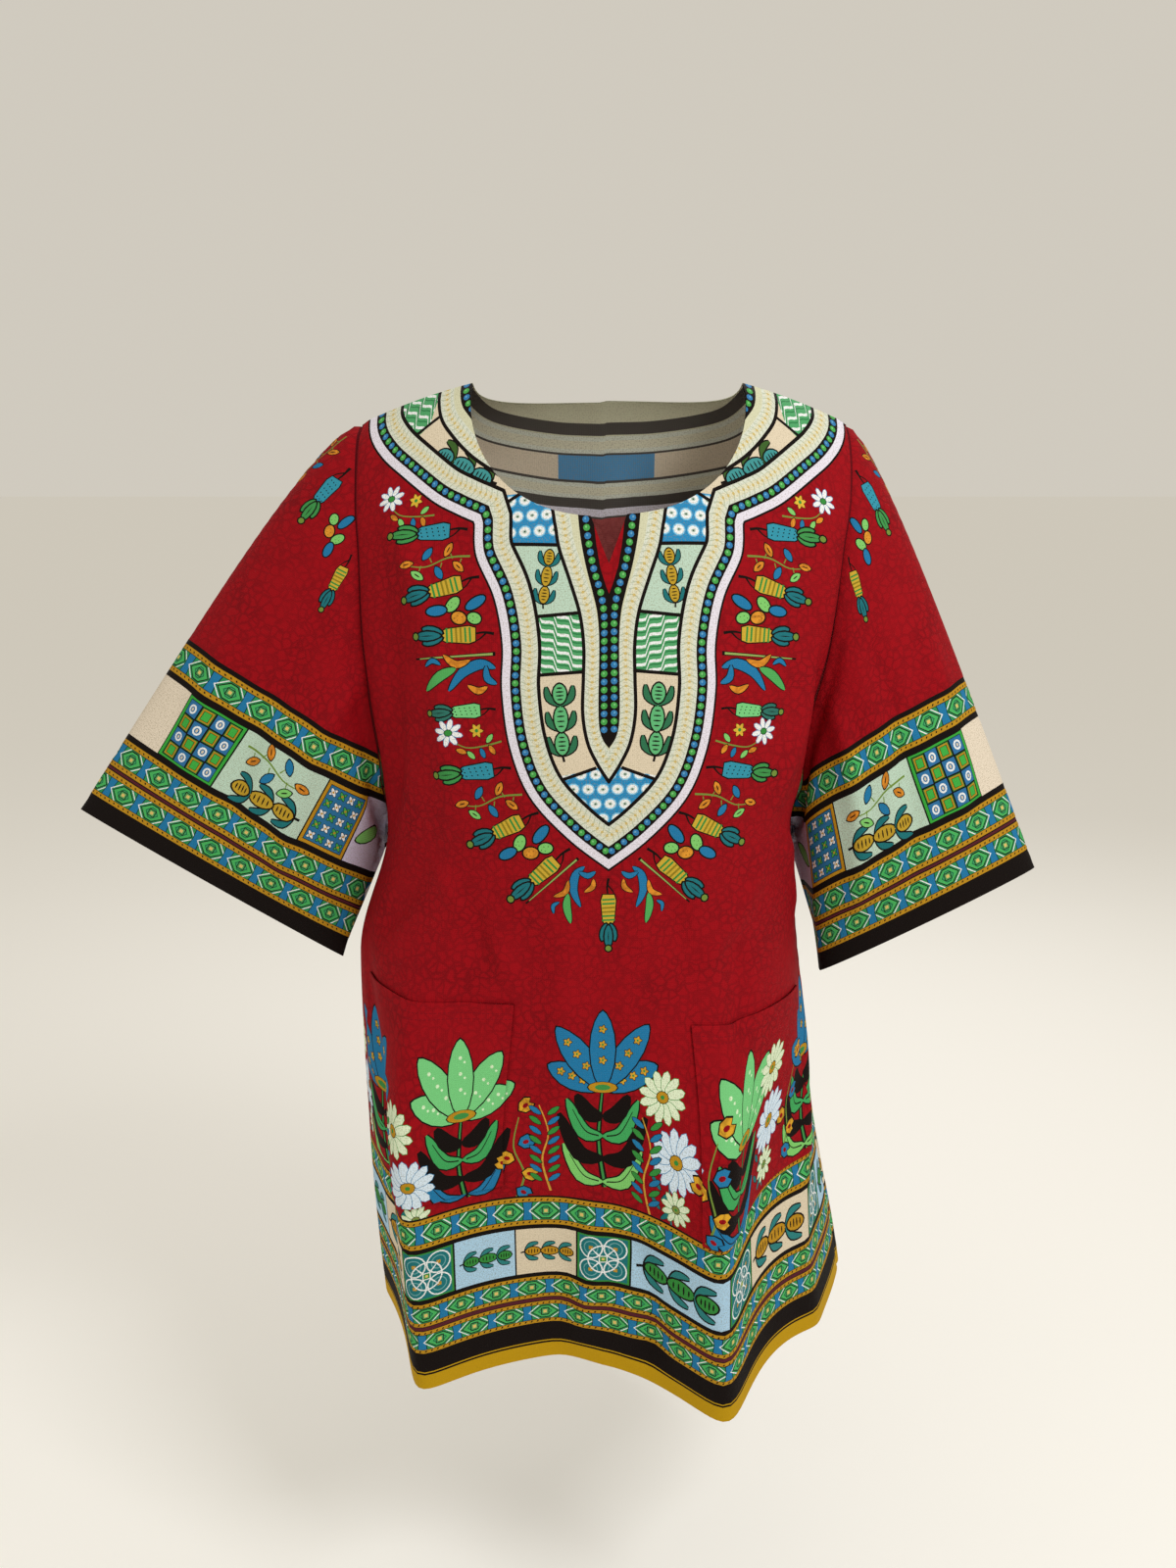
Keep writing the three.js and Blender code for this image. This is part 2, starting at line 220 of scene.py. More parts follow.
bpy.ops.mesh.primitive_plane_add(size=400, location=(0, 0, -1.02))
floor = bpy.context.object
floor.name = "floor"
paint, tree, shader = material("pale matt paint")
shader.inputs["Base Color"].default_value = (*linear("#FCFBF8"), 1)
shader.inputs["Roughness"].default_value = 1.0
shader.inputs["Specular IOR Level"].default_value = 0.0
floor.data.materials.append(paint)
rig.stage(floor)


# ---- front panel ----
# One panel of printed plain-weave cotton, cut in one from shoulders to hem, with a round
# neck and a short open slit. Its form is the solid's, with soft creases added.
HEM_DROP = 748
NECK_HALF = 103
SQUARENESS = 2.3
FOLD_ROUNDING = 3.5
LEVEL_STEP = 2
ARC_STEPS = 160


def table(columns, rows):
    """The columns of a table by name."""
    values = np.array(rows, float)
    return {name: values[:, i] for i, name in enumerate(columns.split())}


# The same rows as the solid's own: level sections of the body, and its large folds.
body_sections = table("down left right front back side cut slope", [
    [0, 189, 184, 10, 10, 10, 58, 30],
    [8, 190, 184, -16, 38, 10, 58, 31],
    [26, 190, 184, -40, 62, 10, 58, 30],
    [60, 190, 183, -62, 82, 11, 58, 25],
    [110, 188, 177, -82, 96, 12, 60, 17],
    [170, 187, 171, -100, 104, 14, 63, 9],
    [235, 183, 166, -112, 106, 16, 68, 4],
    [300, 178, 158, -116, 104, 18, 77, 1],
    [345, 178, 150, -116, 102, 20, 90, 0],
    [450, 203, 157, -114, 102, 18, 90, 0],
    [590, 196, 171, -110, 108, 18, 90, 0],
    [748, 182, 195, -108, 114, 18, 90, 0]])
body_folds = table("at lean start full depth width dip", [
    [-38, -4, 400, 570, 54, 13, 18],
    [19, 13, 430, 600, 65, 11, 22],
    [55, 0, 520, 740, 10, 9, 2],
    [-78, 0, 480, 740, 8, 9, 0],
    [-8, 0, 560, 748, -8, 9, -4],
    [96, 0, 500, 748, 14, 10, 3],
    [132, 0, 420, 740, 20, 10, 5],
    [163, 0, 360, 740, -12, 9, -3],
    [-168, 0, 400, 740, 18, 9, 4],
    [-132, 0, 430, 740, 22, 10, 5],
    [-102, 0, 470, 740, -10, 8, -2]])


def between(rows, value, column):
    """A column's value between the rows: cubic pieces that never overshoot them."""
    x, y = rows["down"], rows[column]
    rise = np.diff(y) / np.diff(x)
    slope = np.concatenate([rise[:1], np.zeros(len(x) - 2), rise[-1:]])
    product = rise[:-1] * rise[1:]
    total = rise[:-1] + rise[1:]
    same_way = product > 0
    slope[1:-1][same_way] = 2 * product[same_way] / total[same_way]
    i = int(np.clip(np.searchsorted(x, value, side="right") - 1, 0, len(x) - 2))
    span = x[i + 1] - x[i]
    t = (value - x[i]) / span
    return (y[i] * (1 + 2 * t) * (1 - t) ** 2 + y[i + 1] * t * t * (3 - 2 * t)
            + span * (slope[i] * t * (1 - t) ** 2 - slope[i + 1] * t * t * (1 - t)))


def section_points(down, middle):
    """Points of one level section, round from one armhole or side seam to the other."""
    row = {name: between(body_sections, down, name) for name in body_sections if name != "down"}
    degrees = middle + row["cut"] * np.linspace(-1, 1, 2 * ARC_STEPS + 1)
    sine, cosine = np.sin(np.radians(degrees)), np.cos(np.radians(degrees))
    half = np.where(sine < 0, row["left"], row["right"])
    power = 2 / SQUARENESS
    reach = half / abs(math.sin(math.radians(row["cut"]))) ** power
    depth = np.where(cosine < 0, row["back"], row["front"]) - row["side"]
    x = reach * np.sign(sine) * np.abs(sine) ** power
    y = depth * np.abs(cosine) ** power
    outward = np.stack([x / reach ** 2, y / np.where(depth == 0, 1, depth) ** 2])
    outward /= np.maximum(np.hypot(*outward), 1e-9)
    out, dip = np.zeros(len(x)), np.zeros(len(x))
    for i, at in enumerate(body_folds["at"]):
        fold = {name: body_folds[name][i] for name in body_folds}
        t = np.clip((down - fold["start"]) / (fold["full"] - fold["start"]), 0, 1)
        grown = t * t * (3 - 2 * t)
        away = (degrees - at - fold["lean"] * (1 - grown) + 180) % 360 - 180
        crest = np.exp((FOLD_ROUNDING - np.hypot(away, FOLD_ROUNDING)) / fold["width"])
        out += fold["depth"] * grown * crest
        dip += fold["dip"] * grown * crest
    neck_share = (NECK_HALF / half) ** 2
    fall = row["slope"] * ((x / half) ** 2 - neck_share) / (1 - neck_share)
    return np.stack([x + out * outward[0], row["side"] + y + out * outward[1],
                     -down - fall - dip], -1)


def lengths_along(points):
    """The distance from the first point to each one."""
    steps = np.linalg.norm(np.diff(points, axis=0), axis=1)
    return np.concatenate([[0], np.cumsum(steps)])


def grid_normals(grid, closed=False):
    """Outward directions of a surface given as rows of points, from above to below."""
    below = np.gradient(grid, axis=0)
    across = np.gradient(grid, axis=1)
    if closed:
        across[:, 0] = across[:, -1] = grid[:, 1] - grid[:, -2]
    normals = np.cross(below, across)
    size = np.linalg.norm(normals, axis=2, keepdims=True)
    return normals / np.maximum(size, 1e-9)


CREASE_DEPTH = 1.65


def creased(grid, across, down, rows):
    """Raises soft ridges and presses troughs along lines in the cloth. Each row is a line's
    two ends, its height and its width."""
    out = np.zeros(across.shape)
    for x0, y0, x1, y1, depth, width in rows:
        line = np.array([x1 - x0, y1 - y0], float)
        long = np.hypot(*line)
        line /= long
        way = ((across - x0) * line[0] + (down - y0) * line[1]) / long
        bow = 0.06 * long * np.sin(math.pi * np.clip(way, 0, 1))
        off = (across - x0) * line[1] - (down - y0) * line[0] - bow
        fade = np.clip(np.minimum(way, 1 - way) * 2.6 + 0.18, 0, 1)
        fade = fade * fade * (3 - 2 * fade)
        uneven = 1 + 0.25 * np.sin(9 * way + x0)
        out += CREASE_DEPTH * depth * fade * uneven * np.exp(-(off / width) ** 2)
    return grid + grid_normals(grid) * out[..., None]


# The cloth sinks a little beside each sewn edge.
SEAM_VALLEY = 1.4
VALLEY_WIDTH = 3.5


class Panel:
    """The front or the back as a surface: across from the centre line, down from the top."""

    def __init__(self, middle, creases):
        downs = np.arange(0, HEM_DROP + 1, LEVEL_STEP)
        shares = np.linspace(-1, 1, 2 * ARC_STEPS + 1)
        self.left, self.right, rows = [], [], []
        for down in downs:
            points = section_points(down, middle)
            length = lengths_along(points)
            centre, total = length[ARC_STEPS], length[-1]
            want = np.where(shares < 0, centre * (1 + shares), centre + (total - centre) * shares)
            rows.append(np.stack([np.interp(want, length, points[:, i]) for i in range(3)], -1))
            self.left.append(centre)
            self.right.append(total - centre)
        self.downs = downs
        self.flip = 1 if middle == 0 else -1
        self.left, self.right = np.array(self.left), np.array(self.right)
        grid = np.array(rows)
        across = np.where(shares < 0, shares * self.left[:, None], shares * self.right[:, None])
        edge = (1 - np.abs(shares)) * np.where(shares < 0, self.left[:, None], self.right[:, None])
        grid -= grid_normals(grid) * (SEAM_VALLEY * np.exp(-(edge / VALLEY_WIDTH) ** 2))[..., None]
        self.grid = creased(grid, across, np.broadcast_to(downs[:, None], across.shape), creases)
        self.normals = grid_normals(self.grid)

    def half(self, down, side):
        """The width from the centre line to one side's edge at a level."""
        return np.interp(down, self.downs, self.left if side < 0 else self.right)

    def locate(self, across, down):
        """Positions and outward directions of places in the flat cloth."""
        half = np.where(across < 0, self.half(down, -1), self.half(down, 1))
        column = (np.clip(across / half, -1, 1) + 1) * ARC_STEPS
        return pick(self, np.clip(down, 0, HEM_DROP) / LEVEL_STEP, column)

    def across_at(self, down, x):
        """How far across the cloth a level reaches x, which is mirrored on the back."""
        row = pick(self, np.full(2 * ARC_STEPS + 1, down / LEVEL_STEP),
                   np.arange(2 * ARC_STEPS + 1))[0][:, 0] * self.flip
        share = np.interp(x, row, np.linspace(-1, 1, len(row)))
        return share * self.half(down, share)


def pick(surface, row, column):
    """A surface's points and directions between its rows and columns."""
    r = np.clip(np.floor(row).astype(int), 0, surface.grid.shape[0] - 2)
    c = np.clip(np.floor(column).astype(int), 0, surface.grid.shape[1] - 2)
    u, v = (row - r)[..., None], (column - c)[..., None]
    found = []
    for values in (surface.grid, surface.normals):
        upper = values[r, c] * (1 - v) + values[r, c + 1] * v
        lower = values[r + 1, c] * (1 - v) + values[r + 1, c + 1] * v
        found.append(upper * (1 - u) + lower * u)
    return found


FRONT_NECK_DROP = 106
SLIT_DROP = 138
SLIT_HALF = 13


def neck_cut(x, drop, slit=None):
    """How far below the shoulder points the neck is cut at x."""
    out = abs(x) / NECK_HALF
    if out >= 1:
        return 0
    mouth = SLIT_HALF / NECK_HALF
    share = out if slit is None else max(out, mouth)
    level = drop * (1 - share ** SQUARENESS) ** (1 / SQUARENESS)
    if slit is None or out > mouth:
        return level
    return slit + (level - slit) * out / mouth


# How far inside the cut edge the painted seam shade, a dark red line, starts and ends.
SEAM_SHADE_LINE = (0.1, 1.3)
EDGE_STEP = 6


def armhole_seam_shade(panel):
    """Painted shade along the turned seam of both armholes and side seams: a dark red line beside the cut edge."""
    near, far = SEAM_SHADE_LINE
    shapes = []
    for side in (-1, 1):
        line = [(side * float(panel.half(down, side)), down) for down in range(0, 600, 8)]
        shapes.append((SEAM_SHADE_RED, [(x - side * near, y) for x, y in line]
                       + [(x - side * far, y) for x, y in line[::-1]]))
    return shapes


def panel_outline(panel, drop, slit=None):
    """The cut edge of a panel in its own flat cloth, from the left shoulder's end."""
    edge = [(panel.across_at(0, x), 0) for x in (-186, -172, -158, -144, -130, -116)]
    edge[0] = (-panel.left[0], 0)
    steps = [-NECK_HALF * math.cos(math.pi * i / 56) for i in range(57)]
    steps = [x for x in steps if slit is None or abs(x) > SLIT_HALF * 1.2]
    if slit is not None:
        steps = sorted(steps + [-SLIT_HALF, -SLIT_HALF / 2, 0, SLIT_HALF / 2, SLIT_HALF])
    for x in steps:
        down = neck_cut(x, drop, slit)
        edge.append((panel.across_at(down, x), down))
    edge += [(panel.across_at(0, x), 0) for x in (116, 130, 144, 158, 172)]
    edge.append((panel.right[0], 0))
    edge += [(panel.half(down, 1), down) for down in range(EDGE_STEP, HEM_DROP, EDGE_STEP)]
    edge += [(across, HEM_DROP) for across in np.linspace(panel.right[-1], -panel.left[-1], 130)]
    edge += [(-panel.half(down, -1), down)
             for down in range(HEM_DROP - EDGE_STEP, 0, -EDGE_STEP)]
    return edge


METRES = 0.001


def cut_size(outline):
    """The box and the area of a flat cut, in metres, as a sheet's size is given."""
    points = np.array(outline, float) * METRES
    after = np.roll(points, -1, axis=0)
    area = abs((points[:, 0] * after[:, 1] - points[:, 1] * after[:, 0]).sum()) / 2
    width, length = np.ptp(points, axis=0)
    return {"flat": (float(width), float(length)), "area": float(area)}


def within(shape, points):
    """Which points lie inside a closed shape, by its winding round them."""
    turns = np.zeros(len(points), int)
    for (x0, y0), (x1, y1) in zip(shape, np.roll(shape, -1, axis=0)):
        if y0 == y1:
            continue
        side = (x1 - x0) * (points[:, 1] - y0) - (points[:, 0] - x0) * (y1 - y0)
        turns += ((y0 <= points[:, 1]) & (points[:, 1] < y1) & (side > 0)).astype(int)
        turns -= ((y1 <= points[:, 1]) & (points[:, 1] < y0) & (side < 0)).astype(int)
    return turns != 0


def hexagonal(low, high, spacing):
    """Places in a box, evenly spaced in rows that are shifted in turn."""
    tall = spacing * 0.866
    rows = [(low[0] + (j + i % 2 / 2) * spacing, low[1] + i * tall)
            for i in range(int((high[1] - low[1]) / tall) + 1)
            for j in range(int((high[0] - low[0]) / spacing) + 1)]
    return np.array(rows)


def divided(shape, longest):
    """A closed shape with its long edges divided."""
    points = []
    for a, b in zip(shape, np.roll(shape, -1, axis=0)):
        parts = max(int(np.hypot(*(b - a)) / longest), 1)
        points += [a + (b - a) * i / parts for i in range(parts)]
    return np.array(points)


def topmost(shapes, outline, flat, triangles):
    """The triangles inside the outline, and the shape that each one takes its colour from."""
    centres = flat[triangles].mean(1)
    kept = within(outline, centres)
    triangles, centres = triangles[kept], centres[kept]
    order = np.argsort(centres[:, 0])
    triangles, centres = triangles[order], centres[order]
    tops = np.zeros(len(centres), int)
    for number, shape in enumerate(shapes):
        (x0, y0), (x1, y1) = shape.min(0), shape.max(0)
        first, last = np.searchsorted(centres[:, 0], (x0, x1))
        near = centres[first:last]
        rows = np.nonzero((near[:, 1] >= y0) & (near[:, 1] <= y1))[0]
        tops[rows[within(shape, near[rows])] + first] = number + 1
    return triangles, tops


def add_shapes(points, edges, shapes):
    """Adds closed shapes to the points and edges of a triangulation."""
    for shape in shapes:
        start, size = len(points), len(shape)
        points += shape.tolist()
        edges += [(start + i, start + (i + 1) % size) for i in range(size)]


# Points nearer to each other than this become one.
WELD = 0.02


def triangulated(points, edges, with_sources=False):
    """Triangles that keep to the edges: their points, their corners, and where each point
    comes from."""
    result = delaunay_2d_cdt([Vector(p) for p in points], edges, [], 0, WELD, with_sources)
    return np.array([tuple(p) for p in result[0]]), np.array(result[2]), result[3]


# The thickness, the spacing of the plain triangles on each side, and the least area that a
# printed shape has if it shows on the reverse side.
WALL = 1.6
FACE_SPACING = 6.8
REVERSE_SPACING = 9.0
BROAD_AREA = 320


def cloth(name, outline, art, surface, lift=0.0):
    """A thin wall of cloth: the outline and the printed shapes are cut into triangles in the
    flat cloth, each takes the colour of the topmost shape, and the sheet is then laid on the
    surface, with a coarser, paler reverse side behind it and a cut edge all round."""
    outline = divided(np.array(outline, float), FACE_SPACING)
    low, high = outline.min(0) - 1, outline.max(0) + 1
    art = [(colour, np.array(shape, float)) for colour, shape in art]
    art = [(colour, divided(shape, FACE_SPACING)) for colour, shape in art
           if (shape.max(0) > low).all() and (shape.min(0) < high).all()]
    shapes = [shape for colour, shape in art]
    points, edges = [], []
    add_shapes(points, edges, [outline] + shapes)
    points += hexagonal(low, high, FACE_SPACING).tolist()
    flat, triangles, sources = triangulated(points, edges)
    triangles, tops = topmost(shapes, outline, flat, triangles)
    used, triangles = np.unique(triangles, return_inverse=True)
    triangles = triangles.reshape(-1, 3)
    flat = flat[used]
    position, normal = surface(flat[:, 0], flat[:, 1])
    side = np.cross(position[triangles[:, 1]] - position[triangles[:, 0]],
                    position[triangles[:, 2]] - position[triangles[:, 0]])
    turned = (side * normal[triangles[:, 0]]).sum() < 0
    if turned:
        triangles = triangles[:, ::-1]
    count = len(flat)
    sides = np.concatenate([triangles[:, [0, 1]], triangles[:, [1, 2]], triangles[:, [2, 0]]])
    lone = ~np.isin(sides[:, 1] * count + sides[:, 0], sides[:, 0] * count + sides[:, 1])
    rim, rim_top = sides[lone], np.tile(tops, 3)[lone]

    # The reverse side has its own coarse triangles inside the same edge.
    border, rim_ends = np.unique(rim, return_inverse=True)
    rim_ends = rim_ends.reshape(-1, 2)
    places = hexagonal(low, high, REVERSE_SPACING)
    apart = np.array([np.hypot(*(flat[border] - place).T).min() for place in places])
    places = places[within(outline, places) & (apart > REVERSE_SPACING / 2)]
    broad = [row for row, shape in enumerate(shapes)
             if abs(np.cross(shape, np.roll(shape, -1, axis=0)).sum()) / 2 > BROAD_AREA]
    broad_shapes = [shapes[row] for row in broad]
    points, edges = np.concatenate([flat[border], places]).tolist(), rim_ends.tolist()
    add_shapes(points, edges, broad_shapes)
    behind, reverse, sources = triangulated(points, edges, True)
    origin = np.full(len(border), -1)
    for i, numbers in enumerate(sources):
        for number in numbers:
            if number < len(border):
                origin[number] = i
    reverse, reverse_tops = topmost(broad_shapes, outline, behind, reverse)
    reverse_tops = np.array([0] + [row + 1 for row in broad])[reverse_tops]
    if not turned:
        reverse = reverse[:, ::-1]
    used, numbers = np.unique(np.concatenate([reverse.ravel(), origin[rim_ends].ravel()]),
                              return_inverse=True)
    behind = behind[used]
    inner = numbers[reverse.size:].reshape(-1, 2) + count
    reverse = numbers[:reverse.size].reshape(-1, 3)
    behind_position, behind_normal = surface(behind[:, 0], behind[:, 1])
    side_one = np.stack([rim[:, 1], rim[:, 0], inner[:, 0]], -1)
    side_two = np.stack([rim[:, 1], inner[:, 0], inner[:, 1]], -1)
    everything = np.concatenate([triangles, reverse + count, side_one, side_two])
    corners = np.concatenate([position + normal * lift,
                              behind_position + behind_normal * (lift - WALL)])
    mesh = bpy.data.meshes.new(name)
    mesh.from_pydata((corners * METRES).tolist(), [], everything.tolist())
    rows = np.array([(*linear(colour), 1) for colour in [RED] + [colour for colour, shape in art]])
    faded = rows * 0.88 + np.array([(*linear("#D5CFC4"), 1)]) * 0.12
    face_rows = np.concatenate([rows[tops], faded[reverse_tops], rows[rim_top], rows[rim_top]])
    layer = mesh.color_attributes.new("Print", "BYTE_COLOR", "CORNER")
    layer.data.foreach_set("color", np.repeat(face_rows, 3, axis=0).ravel())
    chart = mesh.uv_layers.new(name="Cloth")
    both = np.concatenate([flat, behind])
    chart.data.foreach_set("uv", (both[everything.ravel()] * METRES).ravel())
    mesh.polygons.foreach_set("use_smooth", np.ones(len(everything), bool))
    mesh.normals_split_custom_set_from_vertices(
        np.concatenate([normal, -behind_normal]).tolist())
    piece = bpy.data.objects.new(name, mesh)
    bpy.context.scene.collection.objects.link(piece)
    return piece


def printed_cotton(name):
    """Printed plain-weave cotton: the print's colours, a dark tone-on-tone crackle where the
    ground is red, a faint speckle where it is pale, and a fine woven grain."""
    made, tree, shader = material(name)
    colour = add_node(tree, "ShaderNodeAttribute", attribute_name="Print").outputs["Color"]
    place = add_node(tree, "ShaderNodeUVMap", uv_map="Cloth").outputs[0]
    split = add_node(tree, "ShaderNodeSeparateColor", {"Color": colour})
    redness = add_node(tree, "ShaderNodeMath", {0: split.outputs[0], 1: split.outputs[1]},
                       operation="SUBTRACT")
    is_red = add_node(tree, "ShaderNodeMapRange",
                      {"Value": redness.outputs[0], "From Min": 0.2, "From Max": 0.3})
    warp = add_node(tree, "ShaderNodeTexNoise", {"Vector": place, "Scale": 110, "Detail": 2})
    bent = add_node(tree, "ShaderNodeVectorMath", {0: warp.outputs["Color"], 1: (0.008,) * 3},
                    operation="MULTIPLY")
    moved = add_node(tree, "ShaderNodeVectorMath", {0: place, 1: bent.outputs[0]},
                     operation="ADD")
    cells = add_node(tree, "ShaderNodeTexVoronoi", {"Vector": moved.outputs[0], "Scale": 150},
                     feature="DISTANCE_TO_EDGE")
    lines = add_node(tree, "ShaderNodeMapRange",
                     {"Value": cells.outputs["Distance"], "From Min": 0.02, "From Max": 0.22,
                      "To Min": 0.5, "To Max": 0})
    patchy = add_node(tree, "ShaderNodeTexNoise", {"Vector": place, "Scale": 26, "Detail": 3})
    broken = add_node(tree, "ShaderNodeMapRange",
                      {"Value": patchy.outputs[0], "From Min": 0.3, "From Max": 0.7,
                       "To Min": 0.3})
    crackle = add_node(tree, "ShaderNodeMath",
                       {0: lines.outputs[0], 1: broken.outputs[0]}, operation="MULTIPLY")
    crackle = add_node(tree, "ShaderNodeMath",
                       {0: crackle.outputs[0], 1: is_red.outputs[0]}, operation="MULTIPLY")
    ground = add_node(tree, "ShaderNodeMix", {"Factor": crackle.outputs[0], 6: colour,
                                              7: (*linear("#4E040C"), 1)}, data_type="RGBA")
    specks = add_node(tree, "ShaderNodeTexNoise", {"Vector": place, "Scale": 900, "Detail": 1})
    is_pale = add_node(tree, "ShaderNodeMapRange",
                       {"Value": split.outputs[2], "From Min": 0.35, "From Max": 0.5})
    speck = add_node(tree, "ShaderNodeMapRange",
                     {"Value": specks.outputs[0], "From Min": 0.5, "From Max": 0.66,
                      "To Max": 0.42})
    speck = add_node(tree, "ShaderNodeMath", {0: speck.outputs[0], 1: is_pale.outputs[0]},
                     operation="MULTIPLY")
    speckled = add_node(tree, "ShaderNodeMix",
                        {"Factor": speck.outputs[0], 6: ground.outputs[2],
                         7: (*linear("#8A8266"), 1)}, data_type="RGBA")
    tree.links.new(speckled.outputs[2], shader.inputs["Base Color"])
    shader.inputs["Roughness"].default_value = 0.8
    shader.inputs["Specular IOR Level"].default_value = 0.1
    grain = None
    for direction in ("X", "Y"):
        threads = add_node(tree, "ShaderNodeTexWave",
                           {"Vector": place, "Scale": 210, "Distortion": 1.6, "Detail": 1},
                           bands_direction=direction)
        joined = threads.outputs["Fac"]
        if grain is not None:
            joined = add_node(tree, "ShaderNodeMath", {0: grain, 1: joined},
                              operation="MULTIPLY").outputs[0]
        grain = joined
    weave = add_node(tree, "ShaderNodeBump",
                     {"Height": grain, "Strength": 0.45, "Distance": 0.0004})
    slub = add_node(tree, "ShaderNodeTexNoise", {"Vector": place, "Scale": 45, "Detail": 4})
    limp = add_node(tree, "ShaderNodeBump", {"Height": slub.outputs[0], "Strength": 0.3,
                                             "Distance": 0.002, "Normal": weave.outputs[0]})
    tree.links.new(limp.outputs[0], shader.inputs["Normal"])
    return made


front_creases = [
    [-176, 60, -120, 330, 3.2, 12], [-168, 150, -205, 350, -4.5, 13],
    [170, 70, 128, 340, 3.0, 12], [160, 160, 196, 350, -4.5, 12],
    [-130, 330, -215, 430, -3.4, 11], [150, 330, 205, 420, 3.0, 11],
    [-40, 360, -52, 600, 2.2, 14], [30, 340, 60, 470, -2.4, 13],
    [-95, 380, -120, 470, -2.6, 12], [95, 400, 100, 500, -2.6, 12],
    [-150, 350, -62, 452, 2.0, 9], [132, 345, 70, 430, 2.2, 9],
    [-128, 360, -84, 430, -1.6, 7],
    [-230, 400, -215, 700, -3.5, 14], [228, 390, 220, 690, 3.5, 14],
    [-16, 600, -30, 748, 3.0, 12], [20, 620, 34, 748, -3.0, 12]]
front = Panel(0, front_creases)

RED, DARK, GOLD, GREEN, BLUE = "#970814", "#130C0A", "#B98A1E", "#35883C", "#1E74A4"
CREAM, MINT, LAVENDER, BRAID = "#D9CBB2", "#B9D2C0", "#E2DDEA", "#CFCFB0"
TEAL, LEAF, SKY, HEM_GOLD, WHITE = "#1E6F74", "#7CC46A", "#A9CDE6", "#B8900F", "#ECEFF0"
# The last colour here is painted shade: the dark red of the line beside each sewn seam.
STEM, ORANGE, SPRING, PLUM, SEAM_SHADE_RED = "#6F8A3A", "#D98B2B", "#74C77E", "#54202A", "#5A0610"


def smooth(points, steps=8):
    """A smooth line through the points."""
    points = np.array([points[0], *points, points[-1]], float)
    line = []
    for i in range(1, len(points) - 2):
        a, b, c, d = points[i - 1:i + 3]
        for t in np.arange(steps) / steps:
            line.append(0.5 * (2 * b + (c - a) * t + (2 * a - 5 * b + 4 * c - d) * t * t
                               + (3 * b - a - 3 * c + d) * t ** 3))
    return np.array([*line, points[-2]])


def offset(line, distance):
    """The line moved sideways, with its corners kept sharp."""
    along = np.diff(line, axis=0)
    along /= np.linalg.norm(along, axis=1, keepdims=True)
    before = np.concatenate([along[:1], along])
    after = np.concatenate([along, along[-1:]])
    square = np.stack([before[:, 1] + after[:, 1], -before[:, 0] - after[:, 0]], -1)
    size = np.maximum((square ** 2).sum(1, keepdims=True) / 2, 0.5)
    return line + square / size * distance


def ribbon(line, one, other):
    """The strip between two offsets of a line."""
    return np.concatenate([offset(line, one), offset(line, other)[::-1]])


def stations(line, pitch):
    """Evenly spaced places along a line, each with its direction in radians."""
    run = lengths_along(line)
    count = max(int(round(run[-1] / pitch)), 1)
    for i in range(count):
        at = run[-1] * (i + 0.5) / count
        j = min(int(np.searchsorted(run, at, side="right")) - 1, len(line) - 2)
        step = line[j + 1] - line[j]
        yield line[j] + step * (at - run[j]) / (run[j + 1] - run[j]), math.atan2(step[1], step[0])


def turned_to(shape, at, turn):
    """A shape turned and then moved to a place."""
    c, s = math.cos(turn), math.sin(turn)
    x, y = shape.T
    return np.stack([at[0] + c * x - s * y, at[1] + s * x + c * y], -1)


def placed(shapes, at, turn=0.0, size=1.0):
    """Coloured shapes scaled, turned and moved to a place."""
    return [(colour, turned_to(np.array(shape, float) * size, at, turn))
            for colour, shape in shapes]


def oval(x, y, width, height, turn=0.0, steps=10, point=1.0):
    """An oval, or a leaf where its point is more than 1."""
    angle = np.arange(steps) * 2 * math.pi / steps
    across = np.sin(angle) * np.abs(np.sin(angle)) ** (point - 1) * height / 2
    return turned_to(np.stack([np.cos(angle) * width / 2, across], -1), (x, y), turn)


def bordered(colour, x, y, width, height, turn=0.0, steps=10, point=1.0, line=1.25, edge=DARK):
    """An oval or a leaf in a dark outline."""
    outer = oval(x, y, width + 2 * line * point, height + 2 * line, turn, steps, point)
    return [(edge, outer), (colour, oval(x, y, width, height, turn, steps, point))]


def box(x0, y0, x1, y1):
    """A rectangle between two corners."""
    return [(x0, y0), (x1, y0), (x1, y1), (x0, y1)]


def block(x, y, half_width, half_height):
    """A rectangle round its middle."""
    return box(x - half_width, y - half_height, x + half_width, y + half_height)


def framed(colour, x0, y0, x1, y1, rim=0.6):
    """A rectangle with a dark rim."""
    return [(DARK, box(x0, y0, x1, y1)), (colour, box(x0 + rim, y0 + rim, x1 - rim, y1 - rim))]


def stalk(points, width, colour):
    """A thin drawn line that tapers to its end."""
    line = smooth(points, 5)
    taper = np.linspace(1, 0.45, len(line))[:, None] * width / 2
    side = offset(line, 1) - line
    return [(colour, np.concatenate([line + side * taper, (line - side * taper)[::-1]]))]


def blade(points, width, colour, line=1.1):
    """A curved leaf in a dark outline, thickest in the middle and pointed at both ends."""
    path = smooth(points, 4)
    thick = np.sin(math.pi * np.linspace(0.02, 0.98, len(path)))[:, None] ** 0.8 * width / 2
    side = offset(path, 1) - path
    shapes = []
    for tint, more in ((DARK, line), (colour, 0)):
        half = side * (thick + more)
        shapes.append((tint, np.concatenate([path + half, (path - half)[::-1]])))
    return shapes


def daisy(x, y, size, petal, middle, petals, edge=BLUE):
    """A daisy: narrow outlined petals round a dotted middle."""
    shapes = []
    for i in range(petals):
        turn = 2 * math.pi * i / petals + 0.2
        reach = size * 0.31
        at = (x + reach * math.cos(turn), y + reach * math.sin(turn))
        shapes += bordered(petal, *at, size * 0.42, size * 0.19, turn, 8, line=0.5, edge=edge)
    shapes += bordered(middle, x, y, size * 0.26, size * 0.22, steps=10, line=0.6)
    return shapes + [(GREEN, oval(x, y, size * 0.1, size * 0.09, steps=6))]


